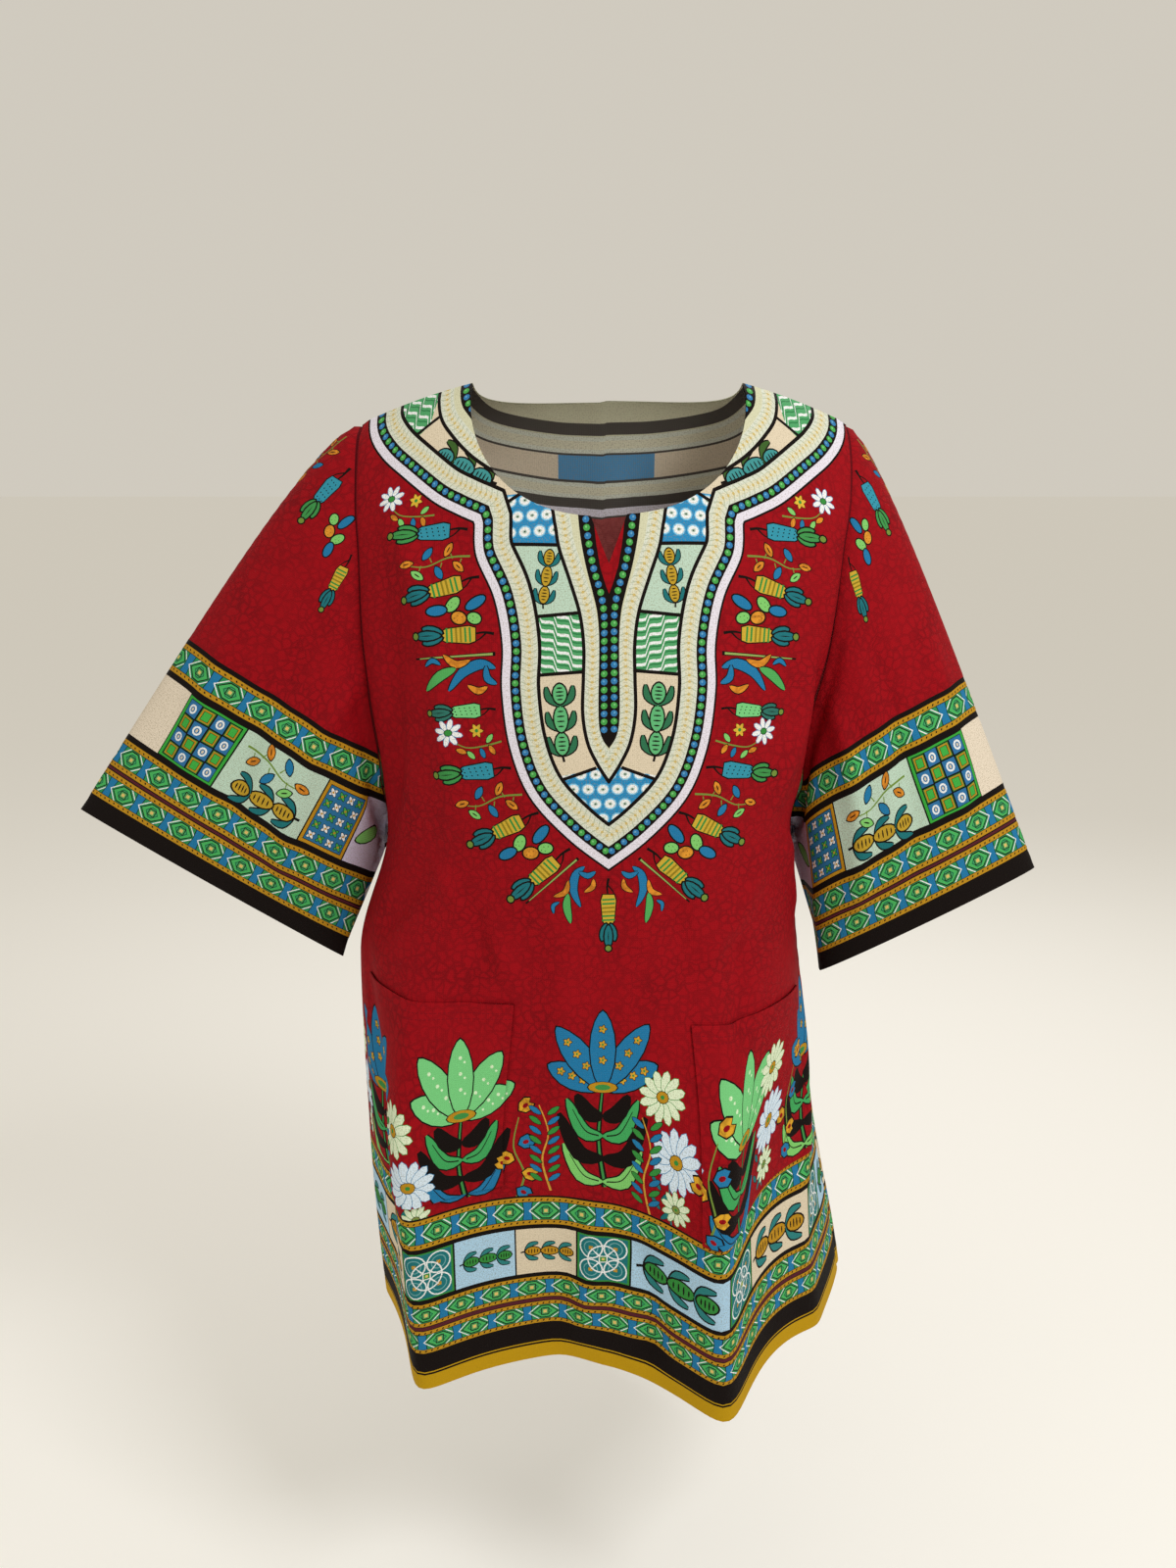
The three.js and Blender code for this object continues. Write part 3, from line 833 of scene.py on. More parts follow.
def star_flower(x, y, size, petal, petals=5):
    """A small flower with a scalloped edge and a green middle."""
    angle = np.arange(petals * 4) * math.pi / (petals * 2)
    reach = size / 2 * (0.76 + 0.24 * np.cos(petals * angle))
    ring = np.stack([x + reach * np.cos(angle), y + reach * np.sin(angle)], -1)
    rim = np.stack([x + (reach + 0.6) * np.cos(angle), y + (reach + 0.6) * np.sin(angle)], -1)
    return [(DARK, rim), (petal, ring), (GREEN, oval(x, y, size * 0.26, size * 0.26, steps=7))]


def sprig():
    """A stem with pointed leaves and a bud, 52 mm long."""
    shapes = stalk([(0, 0), (18, 2), (36, -2), (50, 1)], 1.6, STEM)
    for x, y, turn, colour in [(10, -6, -2.3, ORANGE), (17, 8, 2.2, ORANGE),
                               (26, -8, -2.0, BLUE), (34, 8, 2.3, BLUE), (42, -8, -2.4, LEAF),
                               (50, 2, 3.1, ORANGE)]:
        root = (x - 3, y * 0.1)
        shapes += stalk([root, ((root[0] + x) / 2, y * 0.6), (x, y)], 1.0, STEM)
        shapes += bordered(colour, x, y, 11, 5.6, turn, 12, 1.5, 0.7)
        if colour != BLUE:
            shapes.append((DARK, oval(x, y, 5.5, 1.1, turn, 6)))
    return shapes


def pebbles():
    """A loose cluster of plump leaves, 48 mm long."""
    shapes = []
    for x, y, long, wide, turn, colour in [
            (10, 3, 17, 7.5, -0.3, BLUE), (13, -8, 11, 8, 0.5, LEAF),
            (25, -5, 12, 9, 0.5, "#D9922F"), (28, 6, 13, 8.5, -0.6, LEAF),
            (41, 4, 15, 7.5, 0.1, BLUE)]:
        shapes += bordered(colour, x, y, long, wide, turn, 14)
        if colour != BLUE:
            for dx, dy in [(-2.5, 0), (0.5, 1.6), (1.5, -1.6), (3.5, 0.4)]:
                shapes.append((DARK, oval(x + dx, y + dy, 0.9, 0.9, steps=4)))
    return shapes


def curls():
    """Sickle-shaped leaves that curl away from each other, 54 mm long."""
    shapes = []
    for points, width, colour in [
            ([(1, 6), (12, 9), (26, 3), (36, -10)], 7.5, BLUE),
            ([(7, -7), (14, -10), (22, -6)], 4.6, ORANGE),
            ([(0, -5), (7, -1), (8, 8)], 5.0, BLUE),
            ([(20, 12), (31, 9), (40, 16)], 5.0, ORANGE),
            ([(31, 6), (42, 1), (54, -10)], 7.0, "#4FA457"),
            ([(42, 9), (48, 12), (54, 8)], 3.4, BLUE)]:
        shapes += blade(points, width, colour, 0.8)
    return shapes


def seed_head(skirt, crest, dotted):
    """A banded seed head on its stem with a leafy crest, 62 mm long."""
    shapes = stalk([(0, 0), (8, 1.2), (17, 0)], 2.2, DARK)
    shapes += stalk([(6, 0.6), (11, -3.5), (16, -5)], 1.4, DARK)
    body = [(14, -4.6), (19, -6), (36, -4.6), (39, -3), (39, 3), (36, 4.6), (19, 6), (14, 4.6)]
    shapes += [(DARK, (np.array(body) - (26, 0)) * (1.07, 1.16) + (26, 0)), (skirt, body)]
    if dotted:
        for x in (18, 22.5, 27, 31.5, 36):
            for y in (-2.6, 0.2, 2.8):
                shapes.append((DARK, oval(x + y * 0.3, y, 1.5, 1.1, 0.7, 5)))
    else:
        for x in (17, 20.5, 24, 27.5, 31, 34.5):
            shapes.append((GREEN if x < 22 or x > 30 else "#8C7A1E",
                           [(x, -5.2), (x + 1.5, -5.2), (x + 2.1, 5.2), (x + 0.6, 5.2)]))
    for x, y, long, wide, turn in [(46, 3.6, 15, 6, 0.25), (46, -3.6, 15, 6, -0.25),
                                   (50, 0, 20, 6.5, 0)]:
        shapes += bordered(crest, x, y, long, wide, turn, 12, 1.3)
        shapes.append((DARK, oval(x, y, long * 0.6, 0.8, turn, 4)))
    return shapes + bordered(STEM, 60, 0, 5, 5, steps=8)


def blossom_spray():
    """A daisy and a small yellow flower on a leafy twig, 56 mm long."""
    shapes = stalk([(0, -2), (14, -6), (30, -8), (42, -2)], 1.5, STEM)
    for x, y, turn, colour in [(8, -9, -2.2, ORANGE), (16, -12, -2.0, BLUE),
                               (26, -14, -2.4, LEAF), (34, -11, -2.8, ORANGE),
                               (10, 0, 2.2, LEAF)]:
        shapes += bordered(colour, x, y, 8.5, 4.2, turn, 10, 1.4, 0.6)
    shapes += star_flower(21, 6, 12, "#D9B33A", 6)
    return shapes + daisy(44, 4, 22, WHITE, GREEN, 8)


def spear():
    """A plain pointed leaf, 62 mm long."""
    shapes = stalk([(0, 0), (30, 3), (62, 6)], 3.0, DARK)
    return shapes + stalk([(2, 0.2), (30, 3), (58, 5.6)], 1.7, "#8FA85A")


def wavy_cell(x0, y0, x1, y1, rows):
    """Green cloth with white and dark green stepped waves that slant down across a box."""
    shapes = [("#4F9E66", box(x0, y0, x1, y1))]
    step, tall = 2.8, (y1 - y0) / rows
    for i in range(-7, rows + 1):
        y = y0 + tall * (i + 0.5)
        line = []
        for j in range(int((x1 - x0) / step) + 2):
            drop = (0, 0.1, 1.4, 1.5)[j % 4] + 1.5 * (j // 4)
            line.append((min(x0 + step * j, x1), y + drop * tall))
        for shift, width, colour in ((-tall * 0.12, 2.0, WHITE), (tall * 0.36, 1.0, "#2F7A48")):
            moved = np.array(line) + (0, shift)
            strip = np.concatenate([moved, (moved + (0, width))[::-1]])
            shapes.append((colour, np.clip(strip, (x0, y0), (x1, y1))))
    return shapes


def flower_cell(x0, y0, x1, y1):
    """Blue cloth with rows of small white flowers, within a box."""
    pitch = 10.6
    shapes = [("#2186BC", box(x0, y0, x1, y1))]
    for i in range(int((y1 - y0) / pitch) + 1):
        for j in range(int((x1 - x0) / pitch) + 1):
            x, y = x0 + pitch * (j + 0.25 + i % 2 / 2), y0 + pitch * (i + 0.45)
            if x0 < x - 2 and x + 2 < x1 and y0 + 3 < y < y1 - 3:
                shapes += [("#7FC3E6", oval(x, y, 9.4, 8.6, steps=10)),
                           (WHITE, oval(x, y, 7.6, 6.6, steps=10)),
                           ("#9FB8A8", oval(x, y, 3.2, 2.4, steps=7)),
                           (DARK, oval(x, y, 1.3, 1.1, steps=5))]
    return shapes


def diamond_band(left, right, low, high, start):
    """Green diamonds and blue bars with fine white lines between two dotted gold strips."""
    pitch, dot_pitch = 28.0, 4.7
    strip = (high - low) * 0.18
    top, bottom, middle = low + strip, high - strip, (low + high) / 2
    half = (bottom - top) / 2
    shapes = [(DARK, box(left, low - 0.5, right, high + 0.5)), (GOLD, box(left, low, right, high)),
              (DARK, box(left, top - 0.5, right, bottom + 0.5)),
              ("#2E8A55", box(left, top, right, bottom))]
    for i in range(int(left // pitch) - 1, int(right // pitch) + 2):
        x = i * pitch + start
        ring = np.array([(-10.4, 0), (-3.2, 0.6 - half), (3.2, 0.6 - half), (10.4, 0),
                         (3.2, half - 0.6), (-3.2, half - 0.6)])
        shapes += [(DARK, ring + (x, middle)), ("#48AE5E", ring * (0.9, 0.86) + (x, middle)),
                   ("#1F6B45", ring * (0.56, 0.66) + (x, middle)),
                   ("#3E9E63", ring * (0.46, 0.54) + (x, middle))]
        for size, colour in ((3.2, DARK), (2.5, "#4E9A5A"), (1.4, "#D8BC6E")):
            shapes.append((colour, block(x, middle, size, size)))
        for sign in (-1, 1):
            for rise in (-1, 1):
                a = (x + sign * 13.2, middle)
                b = (x + sign * 5.4, middle + rise * half)
                shapes.append((WHITE, [a, (a[0] - sign * 1.2, a[1]), (b[0] - sign * 1.2, b[1]), b]))
        x += pitch / 2
        bar = np.array([(-3.4, -half), (3.4, -half), (2.6, 0),
                        (3.4, half), (-3.4, half), (-2.6, 0)])
        shapes += [(DARK, bar * (1.2, 1) + (x, middle)), (BLUE, bar + (x, middle))]
    for y in ((low + top) / 2, (high + bottom) / 2):
        for i in range(int((right - left) / dot_pitch) + 1):
            x = left + dot_pitch * (i + 0.5)
            shapes.append((DARK, [(x - 1.0, y + 0.7), (x - 0.2, y - 0.8), (x + 1, y - 0.7),
                                  (x + 0.2, y + 0.8)]))
    return [(colour, np.clip(shape, (left, -1e6), (right, 1e6))) for colour, shape in shapes]


def hoop(x, y, width, height, line, steps=18):
    """A thin oval ring."""
    outer = oval(x, y, width, height, steps=steps)
    inner = oval(x, y, width - 2 * line, height - 2 * line, steps=steps)
    return np.concatenate([outer, outer[:1], inner[:1], inner[::-1]])


DIAGONALS = (0.785, 2.356)


def lattice_cell(x0, y0, x1, y1):
    """Teal cloth with interlaced white rings, small squares and gold dots, within a box."""
    shapes = framed(GREEN, x0, y0, x1, y1, 0.8)
    shapes.append((TEAL, box(x0 + 2.4, y0 + 2, x1 - 2.4, y1 - 2)))
    wide, tall = (x1 - x0 - 5) / 2, (y1 - y0 - 4) / 2
    middle_x, middle_y = (x0 + x1) / 2, (y0 + y1) / 2
    for i in (-1, 1):
        for j in (-1, 1):
            x, y = middle_x + i * wide / 2, middle_y + j * tall / 2
            shapes.append(("#6FA3A6", hoop(x, y, wide * 0.62, tall * 0.62, 0.8, 14)))
            shapes.append((WHITE, hoop(x, y, wide * 1.0, tall * 1.0, 1.1)))
            shapes.append((GOLD, block(x, y, 1.6, 1.4)))
    shapes.append((WHITE, hoop(middle_x, middle_y, wide * 1.3, tall * 1.3, 1.1, 24)))
    for turn in DIAGONALS:
        shapes.append((WHITE, oval(middle_x, middle_y, wide * 1.5, 1.3, turn, 6)))
    for size, colour in ((3.2, WHITE), (2.4, GREEN), (1.1, "#D8BC6E")):
        shapes.append((colour, block(middle_x, middle_y, size, size * 0.9)))
    return [(colour, np.clip(shape, (x0, y0), (x1, y1))) for colour, shape in shapes]


def bud_spray(body, leaf):
    """A lying spray 62 mm long: three banded buds in a row between pairs of pointed leaves."""
    shapes = stalk([(0, 1), (20, -2), (42, 2), (60, 0)], 2.0, DARK)
    for x, long in ((14, 17), (33, 20), (52, 15)):
        for sign in (-1, 1):
            shapes += blade([(x - 9, 0), (x - 3, sign * 8.5), (x + 6, sign * 10.5)], 4.6, leaf)
        shapes += bordered(body, x, 0, long, 10.5, 0, 14, 1.1)
        for share in (-0.28, -0.09, 0.1, 0.29):
            shapes.append((DARK, oval(x + long * share, 0, 1.3, 7.6 - abs(share) * 9, steps=6)))
    return shapes


def plain_cell(x0, y0, x1, y1, colour, body):
    """A pale cell with a lying spray of banded buds."""
    size = min((x1 - x0) / 70, 1.2)
    spray = placed(bud_spray(body, "#2D7C7C"), (x0 + 4, (y0 + y1) / 2), 0.02, size)
    return framed(colour, x0, y0, x1, y1) + spray


HEM_TOP = 604


def hem_border(left, right, cells):
    """The printed border above the hem: a diamond band, a row of cells, two more diamond
    bands, a broad dark stripe, and the gold selvage along the very edge."""
    shapes = [(DARK, box(left, HEM_TOP - 1.6, right, HEM_DROP + 1))]
    top, bottom = HEM_TOP + 27, HEM_TOP + 68
    for x0, x1, kind in cells:
        if kind == "lattice":
            shapes += lattice_cell(x0, top, x1, bottom)
        else:
            shapes += plain_cell(x0, top, x1, bottom, kind, GOLD if kind == CREAM else GREEN)
    shapes += diamond_band(left, right, HEM_TOP, HEM_TOP + 24, start=8)
    shapes += diamond_band(left, right, HEM_TOP + 71, HEM_TOP + 90, start=-4)
    shapes += diamond_band(left, right, HEM_TOP + 94, HEM_TOP + 113, start=6)
    shapes += [(PLUM, box(left, HEM_TOP + 90.6, right, HEM_TOP + 93.4)),
               (HEM_GOLD, box(left, HEM_DROP - 14.6, right, HEM_DROP - 13.6)),
               (HEM_GOLD, box(left, HEM_DROP - 12, right, HEM_DROP + 1))]
    return shapes


def tall_plant(height, petal, starry, leaf):
    """A stylised plant: a dark stem with broad curved leaves in pairs, a gold-ringed cup, and
    one great bloom of pointed petals with small gold flowers or pale dots on them."""
    stem = [(2, height), (-3, height * 0.75), (0, height * 0.46)]
    shapes = stalk(stem, 6, DARK) + stalk(stem, 2.2, "#3C8A45")
    for level, reach, rise, colour in [(0.97, 30, 0.2, leaf), (0.84, 33, 0.24, DARK),
                                       (0.72, 27, 0.2, "#3FA05A"), (0.62, 20, 0.12, DARK)]:
        for sign in (-1, 1):
            shapes += blade([(0, height * level), (sign * reach * 0.55, height * (level - 0.02)),
                             (sign * reach, height * (level - rise))], 10, colour)
            if colour != DARK:
                shapes += stalk([(sign * 3, height * level), (sign * reach * 0.5,
                                 height * (level - 0.025)), (sign * reach * 0.84,
                                 height * (level - rise * 0.7))], 1.1, DARK)
    base = height * 0.47
    for turn in (-66, 66, -36, 36, 0):
        long = height * (0.43 if abs(turn) < 50 else 0.33)
        way = (math.sin(math.radians(turn)), -math.cos(math.radians(turn)))
        at = (way[0] * long / 2, base + way[1] * long / 2)
        shapes += bordered(petal, *at, long, 19, math.atan2(way[1], way[0]), 16, 1.35, 1.0)
        for i in range(3):
            spot = (way[0] * long * (0.36 + 0.2 * i), base + way[1] * long * (0.36 + 0.2 * i))
            if starry:
                shapes += star_flower(*spot, 6.6, "#D0A033")
            else:
                shapes.append(("#D3EFC6", oval(*spot, 2.8, 2.8, steps=6)))
                shapes.append(("#D3EFC6", oval(spot[0] + 3.2, spot[1] + 3, 2, 2, steps=5)))
    for x, wide, colour in ((0, 24, DARK), (0, 22, GOLD), (0, 12, "#3C8A45")):
        shapes.append((colour, oval(x, base - 1, wide, wide * 0.36, steps=12)))
    return shapes


def daisy_clump():
    """Two green-white daisies above and below a large blue-white one, 110 mm high."""
    shapes = stalk([(0, 108), (-4, 70), (-12, 40)], 1.8, TEAL)
    for i in range(6):
        shapes += bordered(TEAL, -15 + i % 2 * 9, 62 + 8 * i, 12, 4, 0.8 - i % 2 * 1.6, 8,
                           1.4, 0.5)
    shapes += daisy(-12, 16, 38, "#DDEBCB", GOLD, 12, GREEN)
    shapes += daisy(2, 58, 44, "#D5E6F4", GOLD, 13, BLUE)
    return shapes + daisy(4, 92, 27, "#DDEBCB", "#7E8A45", 10, GREEN)


def heart_vine():
    """A vine with gold and blue heart-shaped leaves, 96 mm high."""
    shapes = stalk([(0, 96), (7, 74), (-2, 48), (3, 22)], 2.2, STEM)
    heart = np.array([(-7, 0), (-3, -5), (3, -6), (7, -3), (4, 0), (7, 3), (3, 6), (-3, 5)])
    for x, y, turn, colour in [(9, 12, -0.6, "#D9A32C"), (9, 44, -0.3, BLUE),
                               (-8, 58, 3.5, "#D9A32C"), (12, 74, 0.2, "#D9A32C"),
                               (6, 92, 0.6, BLUE)]:
        shapes += placed([(DARK, heart * 1.2), (colour, heart),
                          (RED, oval(0, 0, 6, 4, steps=7))], (x, y), turn)
    return shapes


def fern():
    """An upright fern with small blue and green leaflets, 68 mm high."""
    height = 68
    shapes = stalk([(4, height), (-2, height * 0.62), (3, height * 0.3), (-4, 0)], 1.8, "#C99A3A")
    for i in range(8):
        y = height * (0.1 + 0.11 * i)
        for sign in (-1, 1):
            shapes += bordered((BLUE, GREEN)[(i + (sign > 0)) % 2], sign * 7, y - 3, 11, 4,
                               -0.6 * sign, 8, 1.4, 0.5)
    return shapes


def crossing(line):
    """The half of a line left of the centre line, joined to its mirror image."""
    inside = line[:, 0] < -0.01
    last = len(inside) if inside.all() else int(np.argmin(inside))
    half = line[:last]
    if last < len(line):
        a, b = line[last - 1], line[last]
        tip = a + (b - a) * (a[0] / (a[0] - b[0]))
    else:
        tip = np.array([0, half[-1][1]])
    return np.concatenate([half, [(0, tip[1])], (half * (-1, 1))[::-1]])


def both_sides(shapes):
    """Shapes and their mirror images across the centre line."""
    return shapes + [(colour, np.array(shape) * (-1, 1)) for colour, shape in shapes]


def band(line, one, other):
    """The strip between two offsets of a half line and its mirror image."""
    return np.concatenate([crossing(offset(line, one)), crossing(offset(line, other))[::-1]])


def braid(line, one, other):
    """A pale woven braid: its band, slanted stitches on both halves, and a gold core."""
    middle, half = (one + other) / 2, (other - one) / 2
    shapes = [("#D5DACB", band(line, one, other)),
              ("#DAD7BC", band(line, one + half * 0.5, other - half * 0.5))]
    for (x, y), turn in stations(crossing(offset(line, middle)), 4.4):
        stitches = [("#AEB69C", [(-1.6, sign * half * 0.92), (-0.9, sign * half * 0.92),
                                 (1.5, sign * 0.3), (0.8, sign * 0.3)]) for sign in (-1, 1)]
        stitches.append(("#C6B06E", oval(0.6, 0, 2.0, 2.6, steps=6)))
        shapes += placed(stitches, (x, y), turn)
    return shapes


def beads(line):
    """Blue and green dots in turn along a line, each with a painted highlight: a lighter spot set a little above and
    to one side of its middle.
    """
    pitch, size = 5.5, 4.7
    shapes = []
    for i, ((x, y), turn) in enumerate(stations(line, pitch)):
        tint, spot = (("#2A76AE", "#5FA3CC"), ("#469E4B", "#7CC27A"))[i % 2]
        shapes.append((tint, oval(x, y, size, size * 1.06, turn, 8)))
        # The lighter spot is a painted highlight.
        shapes.append((spot, oval(x - 0.4, y - 0.5, size * 0.4, size * 0.34, turn, 5)))
    return shapes


def dividers(rows):
    """Dark lines between cells, each from one point to another, on both sides."""
    half_width = 1.2
    shapes = []
    for x0, y0, x1, y1 in rows:
        square = np.array([y1 - y0, x0 - x1]) / math.hypot(x1 - x0, y1 - y0) * half_width
        ends = np.array([(x0, y0), (x1, y1)])
        shapes += both_sides([(DARK, [*(ends + square), *(ends - square)[::-1]])])
    return shapes


def scattered(rows):
    """Small plants, each given by its function or a seed head's colours, its root, its turn
    in degrees and its size."""
    shapes = []
    for kind, across, down, turn, size in rows:
        drawn = kind() if callable(kind) else seed_head(*kind)
        shapes += placed(drawn, (across, down), math.radians(turn), size)
    return shapes


def plant_row(plants, clumps, vines=(), ferns=()):
    """The row of plants above the border, each given by its upper end."""
    shapes = []
    for across, top, *looks in plants:
        shapes += placed(tall_plant(*looks), (across, top))
    for kind, places, size in ((daisy_clump, clumps, 0.9), (heart_vine, vines, 0.86),
                               (fern, ferns, 1.0)):
        for place in places:
            shapes += placed(kind(), place, 0, size)
    return shapes


shield_line = np.concatenate([
    smooth([(-191, -12), (-186, 16), (-174, 38), (-156, 59), (-131, 84), (-112, 97), (-99.5, 104)]),
    smooth([(-99, 105.5), (-97.5, 128), (-84, 158), (-78, 190), (-78.5, 222), (-73, 262),
            (-58.5, 298), (-31, 328), (0.1, 352)])])
neck_line = smooth([(-132, -10), (-127, 20), (-117, 38), (-102, 56), (-85, 70), (-62, 86),
                    (-44, 95), (-39.5, 110), (-36.5, 126), (-29, 147), (-21.5, 170),
                    (-18.6, 192), (-18.8, 214), (-19.2, 238), (-15.8, 258), (-8.9, 273),
                    (0.1, 287)])
slit_line = smooth([(-23.5, 92), (-22, 110), (-20, 124), (-16.5, 140), (-12, 156), (-8.5, 171),
                    (-7.2, 193), (-7.2, 246), (0.1, 263)])
cell_edge = crossing(offset(shield_line, 21))
front_art = [(CREAM, cell_edge)]
shoulder_cell = both_sides(placed(wavy_cell(-22, -14, 18, 34, 6), (-146, -3), 0.24))
front_art += shoulder_cell
front_art += both_sides(flower_cell(-74, 88, -36, 123))
front_art += both_sides(wavy_cell(-54, 169, -14, 211, 7))
front_art += flower_cell(-44, 276, 44, 332)

# The pale cells: the first and last level of their outer edge, and their two inner corners.
for first, last, upper, lower, colour in [
        (33, 92, (-118, 16), (-56, 84), CREAM), (121, 171.5, (-30, 124), (-16, 169), MINT),
        (211, 286, (-14, 209), (-9, 277), CREAM)]:
    reach = [p for p in cell_edge if p[0] < 0 and first < p[1] < last]
    front_art += both_sides([(colour, [upper, *reach, lower])])
front_art += dividers([(-162, 37, -118, 17), (-84, 98, -52, 82), (-74, 121.5, -32, 124.5),
                       (-54, 171.5, -16, 169), (-54, 211.5, -16, 209), (-46, 289, -9, 276)])
for at, turn, size, body, leaf in [
        ((-82, 80), 3.76, 0.92, "#3F8F90", "#3B5E2A"), ((-48, 166), -1.43, 0.66, "#B8962C", TEAL),
        ((-33, 272), -1.62, 0.92, "#5FB377", "#2F6F4E")]:
    front_art += both_sides(placed(bud_spray(body, leaf), at, turn, size))
front_art.append((RED, band(shield_line, -24, 0.5)))
front_art += [(DARK, band(shield_line, 0, 2)), (LAVENDER, band(shield_line, 1.5, 7.6)),
              (DARK, band(shield_line, 7.4, 15.3)), (DARK, band(shield_line, 26, 29.4))]
front_art += braid(shield_line, 15, 26.8)
front_art += beads(crossing(offset(shield_line, 11.2)))
front_art += [(DARK, crossing(offset(neck_line, -0.9))),
              (BRAID, crossing(offset(neck_line, 1.6)))]
front_art += braid(neck_line, 1.6, 11.8)

# A dark strip with beads follows the neck down to the slit's own edge.
front_art += both_sides([(DARK, ribbon(neck_line[:40], 17, 26))])
front_art += both_sides(beads(offset(neck_line[:36], 21.5)))
front_art += [(DARK, crossing(slit_line)),
              (RED, [(-13.5, 88), (-12.5, 98), (-9.5, 124), (-6.5, 140), (-2.5, 152), (0, 158),
                     (2.5, 152), (6.5, 140), (9.5, 124), (12.5, 98), (13.5, 88)])]
front_art += both_sides(beads(smooth([(-18, 94), (-16.5, 112), (-14.3, 126), (-10.8, 142),
                                      (-6, 157), (-3.7, 172), (-3.6, 193), (-3.6, 252)])))

# Round the shield, rooted on its edge and pointing away from it.
BANDED = ("#C7A536", "#1F6F78", False)
SPOTTED = ("#2F8FA6", "#3E8E4B", True)
MINTY = (SPRING, "#2F6E62", True)
front_art += both_sides(scattered([
    (blossom_spray, -128, 92, 202, 0.9), (SPOTTED, -103, 108, 184, 1.0),
    (sprig, -101, 127, 176, 0.95), (BANDED, -94, 142, 168, 1.0), (pebbles, -87, 161, 170, 0.95),
    (BANDED, -83, 182, 180, 1.0), (spear, -82, 196, 172, 1.0), (curls, -81, 212, 180, 1.0),
    (MINTY, -82, 235, 176, 0.85), (blossom_spray, -78, 256, 180, 0.9),
    (SPOTTED, -71, 277, 172, 1.0), (sprig, -63, 296, 166, 0.95), (BANDED, -51, 309, 153, 1.0),
    (pebbles, -40, 322, 146, 0.95), (BANDED, -28, 335, 138, 1.0), (spear, -22, 342, 132, 0.85),
    (curls, -13, 350, 120, 0.8)]))
front_art += placed(seed_head(*BANDED), (0, 357), math.pi / 2, 0.9)

front_art += plant_row(
    [(-212, 470, 126, BLUE, True, LEAF), (-108, 472, 124, SPRING, False, BLUE),
     (-4, 454, 136, BLUE, True, LEAF), (112, 486, 118, SPRING, False, BLUE),
     (226, 470, 126, BLUE, True, LEAF)],
    [(-262, 500), (-152, 520), (52, 506), (164, 500), (272, 500)],
    [(-70, 520), (80, 516), (196, 508)], [(-48, 530), (30, 536), (-182, 530)])
front_art += hem_border(-345, 345, [
    (-345, -300, "lattice"), (-300, -232, SKY), (-232, -164, CREAM), (-164, -120, "lattice"),
    (-120, -72, SKY), (-72, -24, CREAM), (-24, 18, "lattice"), (18, 104, SKY),
    (104, 148, "lattice"), (148, 230, CREAM), (230, 272, "lattice"), (272, 345, SKY)])
# Painted seam shade: a dark red line beside the armholes and side seams.
front_art += armhole_seam_shade(front)
printed = printed_cotton("printed plain-weave cotton")
outline = panel_outline(front, FRONT_NECK_DROP, SLIT_DROP)
piece = cloth("front_cloth", outline, front_art, front.locate)
piece.data.materials.append(printed)
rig.replaces(piece, "front")
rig.ride(piece, "root")
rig.slot(piece, "printed_cotton")
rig.sheet(piece, held="draped", **cut_size(outline))


# ---- back panel ----
# The same cotton with a shallow neck. The yoke's bands run on round the back neck, and the
# border and the plants go all the way round.
BACK_NECK_DROP = 24
back_creases = [
    [-150, 60, -60, 300, 3.0, 14], [150, 60, 60, 300, 3.0, 14], [-20, 40, 10, 330, -2.6, 16],
    [-175, 180, -215, 380, -4.5, 13], [175, 180, 215, 380, -4.5, 13],
    [-120, 330, -150, 700, 3.4, 15], [110, 340, 130, 700, 3.2, 15],
    [-40, 420, -60, 748, -3.2, 14], [40, 400, 60, 748, 3.6, 14],
    [-72, 130, -88, 430, 2.4, 15], [78, 150, 92, 450, -2.6, 14],
    [-150, 200, -118, 330, -2.2, 10], [140, 190, 116, 330, 2.4, 10],
    [6, 220, 0, 470, 2.2, 15], [-215, 420, -230, 740, 3.0, 14],
    [205, 400, 220, 740, -3.0, 14]]
back = Panel(180, back_creases)
nape_line = smooth([(-191, -12), (-187, 16), (-172, 44), (-140, 72), (-100, 92), (-50, 106),
                    (0.1, 111)])
nape_edge = smooth([(-132, -10), (-126, 14), (-108, 36), (-80, 50), (-40, 60), (0.1, 63)])
back_art = [(CREAM, crossing(offset(nape_line, 21)))]
back_art += shoulder_cell + flower_cell(-40, 56, 40, 86)
back_art += dividers([(-162, 37, -118, 17), (-46, 88, -42, 56)])
back_art += both_sides(placed(bud_spray("#3F8F90", "#3B5E2A"), (-54, 72), 3.58, 0.92))
back_art += [(DARK, band(nape_line, 0, 2)), (LAVENDER, band(nape_line, 1.5, 7.6)),
             (DARK, band(nape_line, 7.4, 15.3)), (DARK, band(nape_line, 26, 28.8))]
back_art += braid(nape_line, 15, 26.8)
back_art += beads(crossing(offset(nape_line, 11.2)))
back_art += [(DARK, crossing(nape_edge)), (BRAID, crossing(offset(nape_edge, 1.6)))]
back_art += braid(nape_edge, 1.6, 14)
back_art += [(DARK, band(nape_edge, 15, 24))] + beads(crossing(offset(nape_edge, 19.5)))
back_art += both_sides(scattered([
    (blossom_spray, -166, 62, 190, 0.8), (SPOTTED, -150, 78, 158, 0.9),
    (sprig, -132, 86, 140, 0.95), (BANDED, -112, 96, 128, 0.95), (pebbles, -92, 102, 120, 0.95),
    (MINTY, -70, 108, 112, 0.9), (curls, -48, 110, 104, 0.9), (BANDED, -24, 114, 97, 0.95)]))
back_art += placed(blossom_spray(), (0, 114), math.pi / 2, 0.9)
back_art += plant_row(
    [(-212, 470, 126, BLUE, True, LEAF), (-106, 472, 124, SPRING, False, BLUE),
     (0, 458, 136, BLUE, True, LEAF), (106, 472, 124, SPRING, False, BLUE),
     (212, 470, 126, BLUE, True, LEAF)],
    [(-158, 506), (-54, 506), (52, 506), (160, 506), (262, 506)])
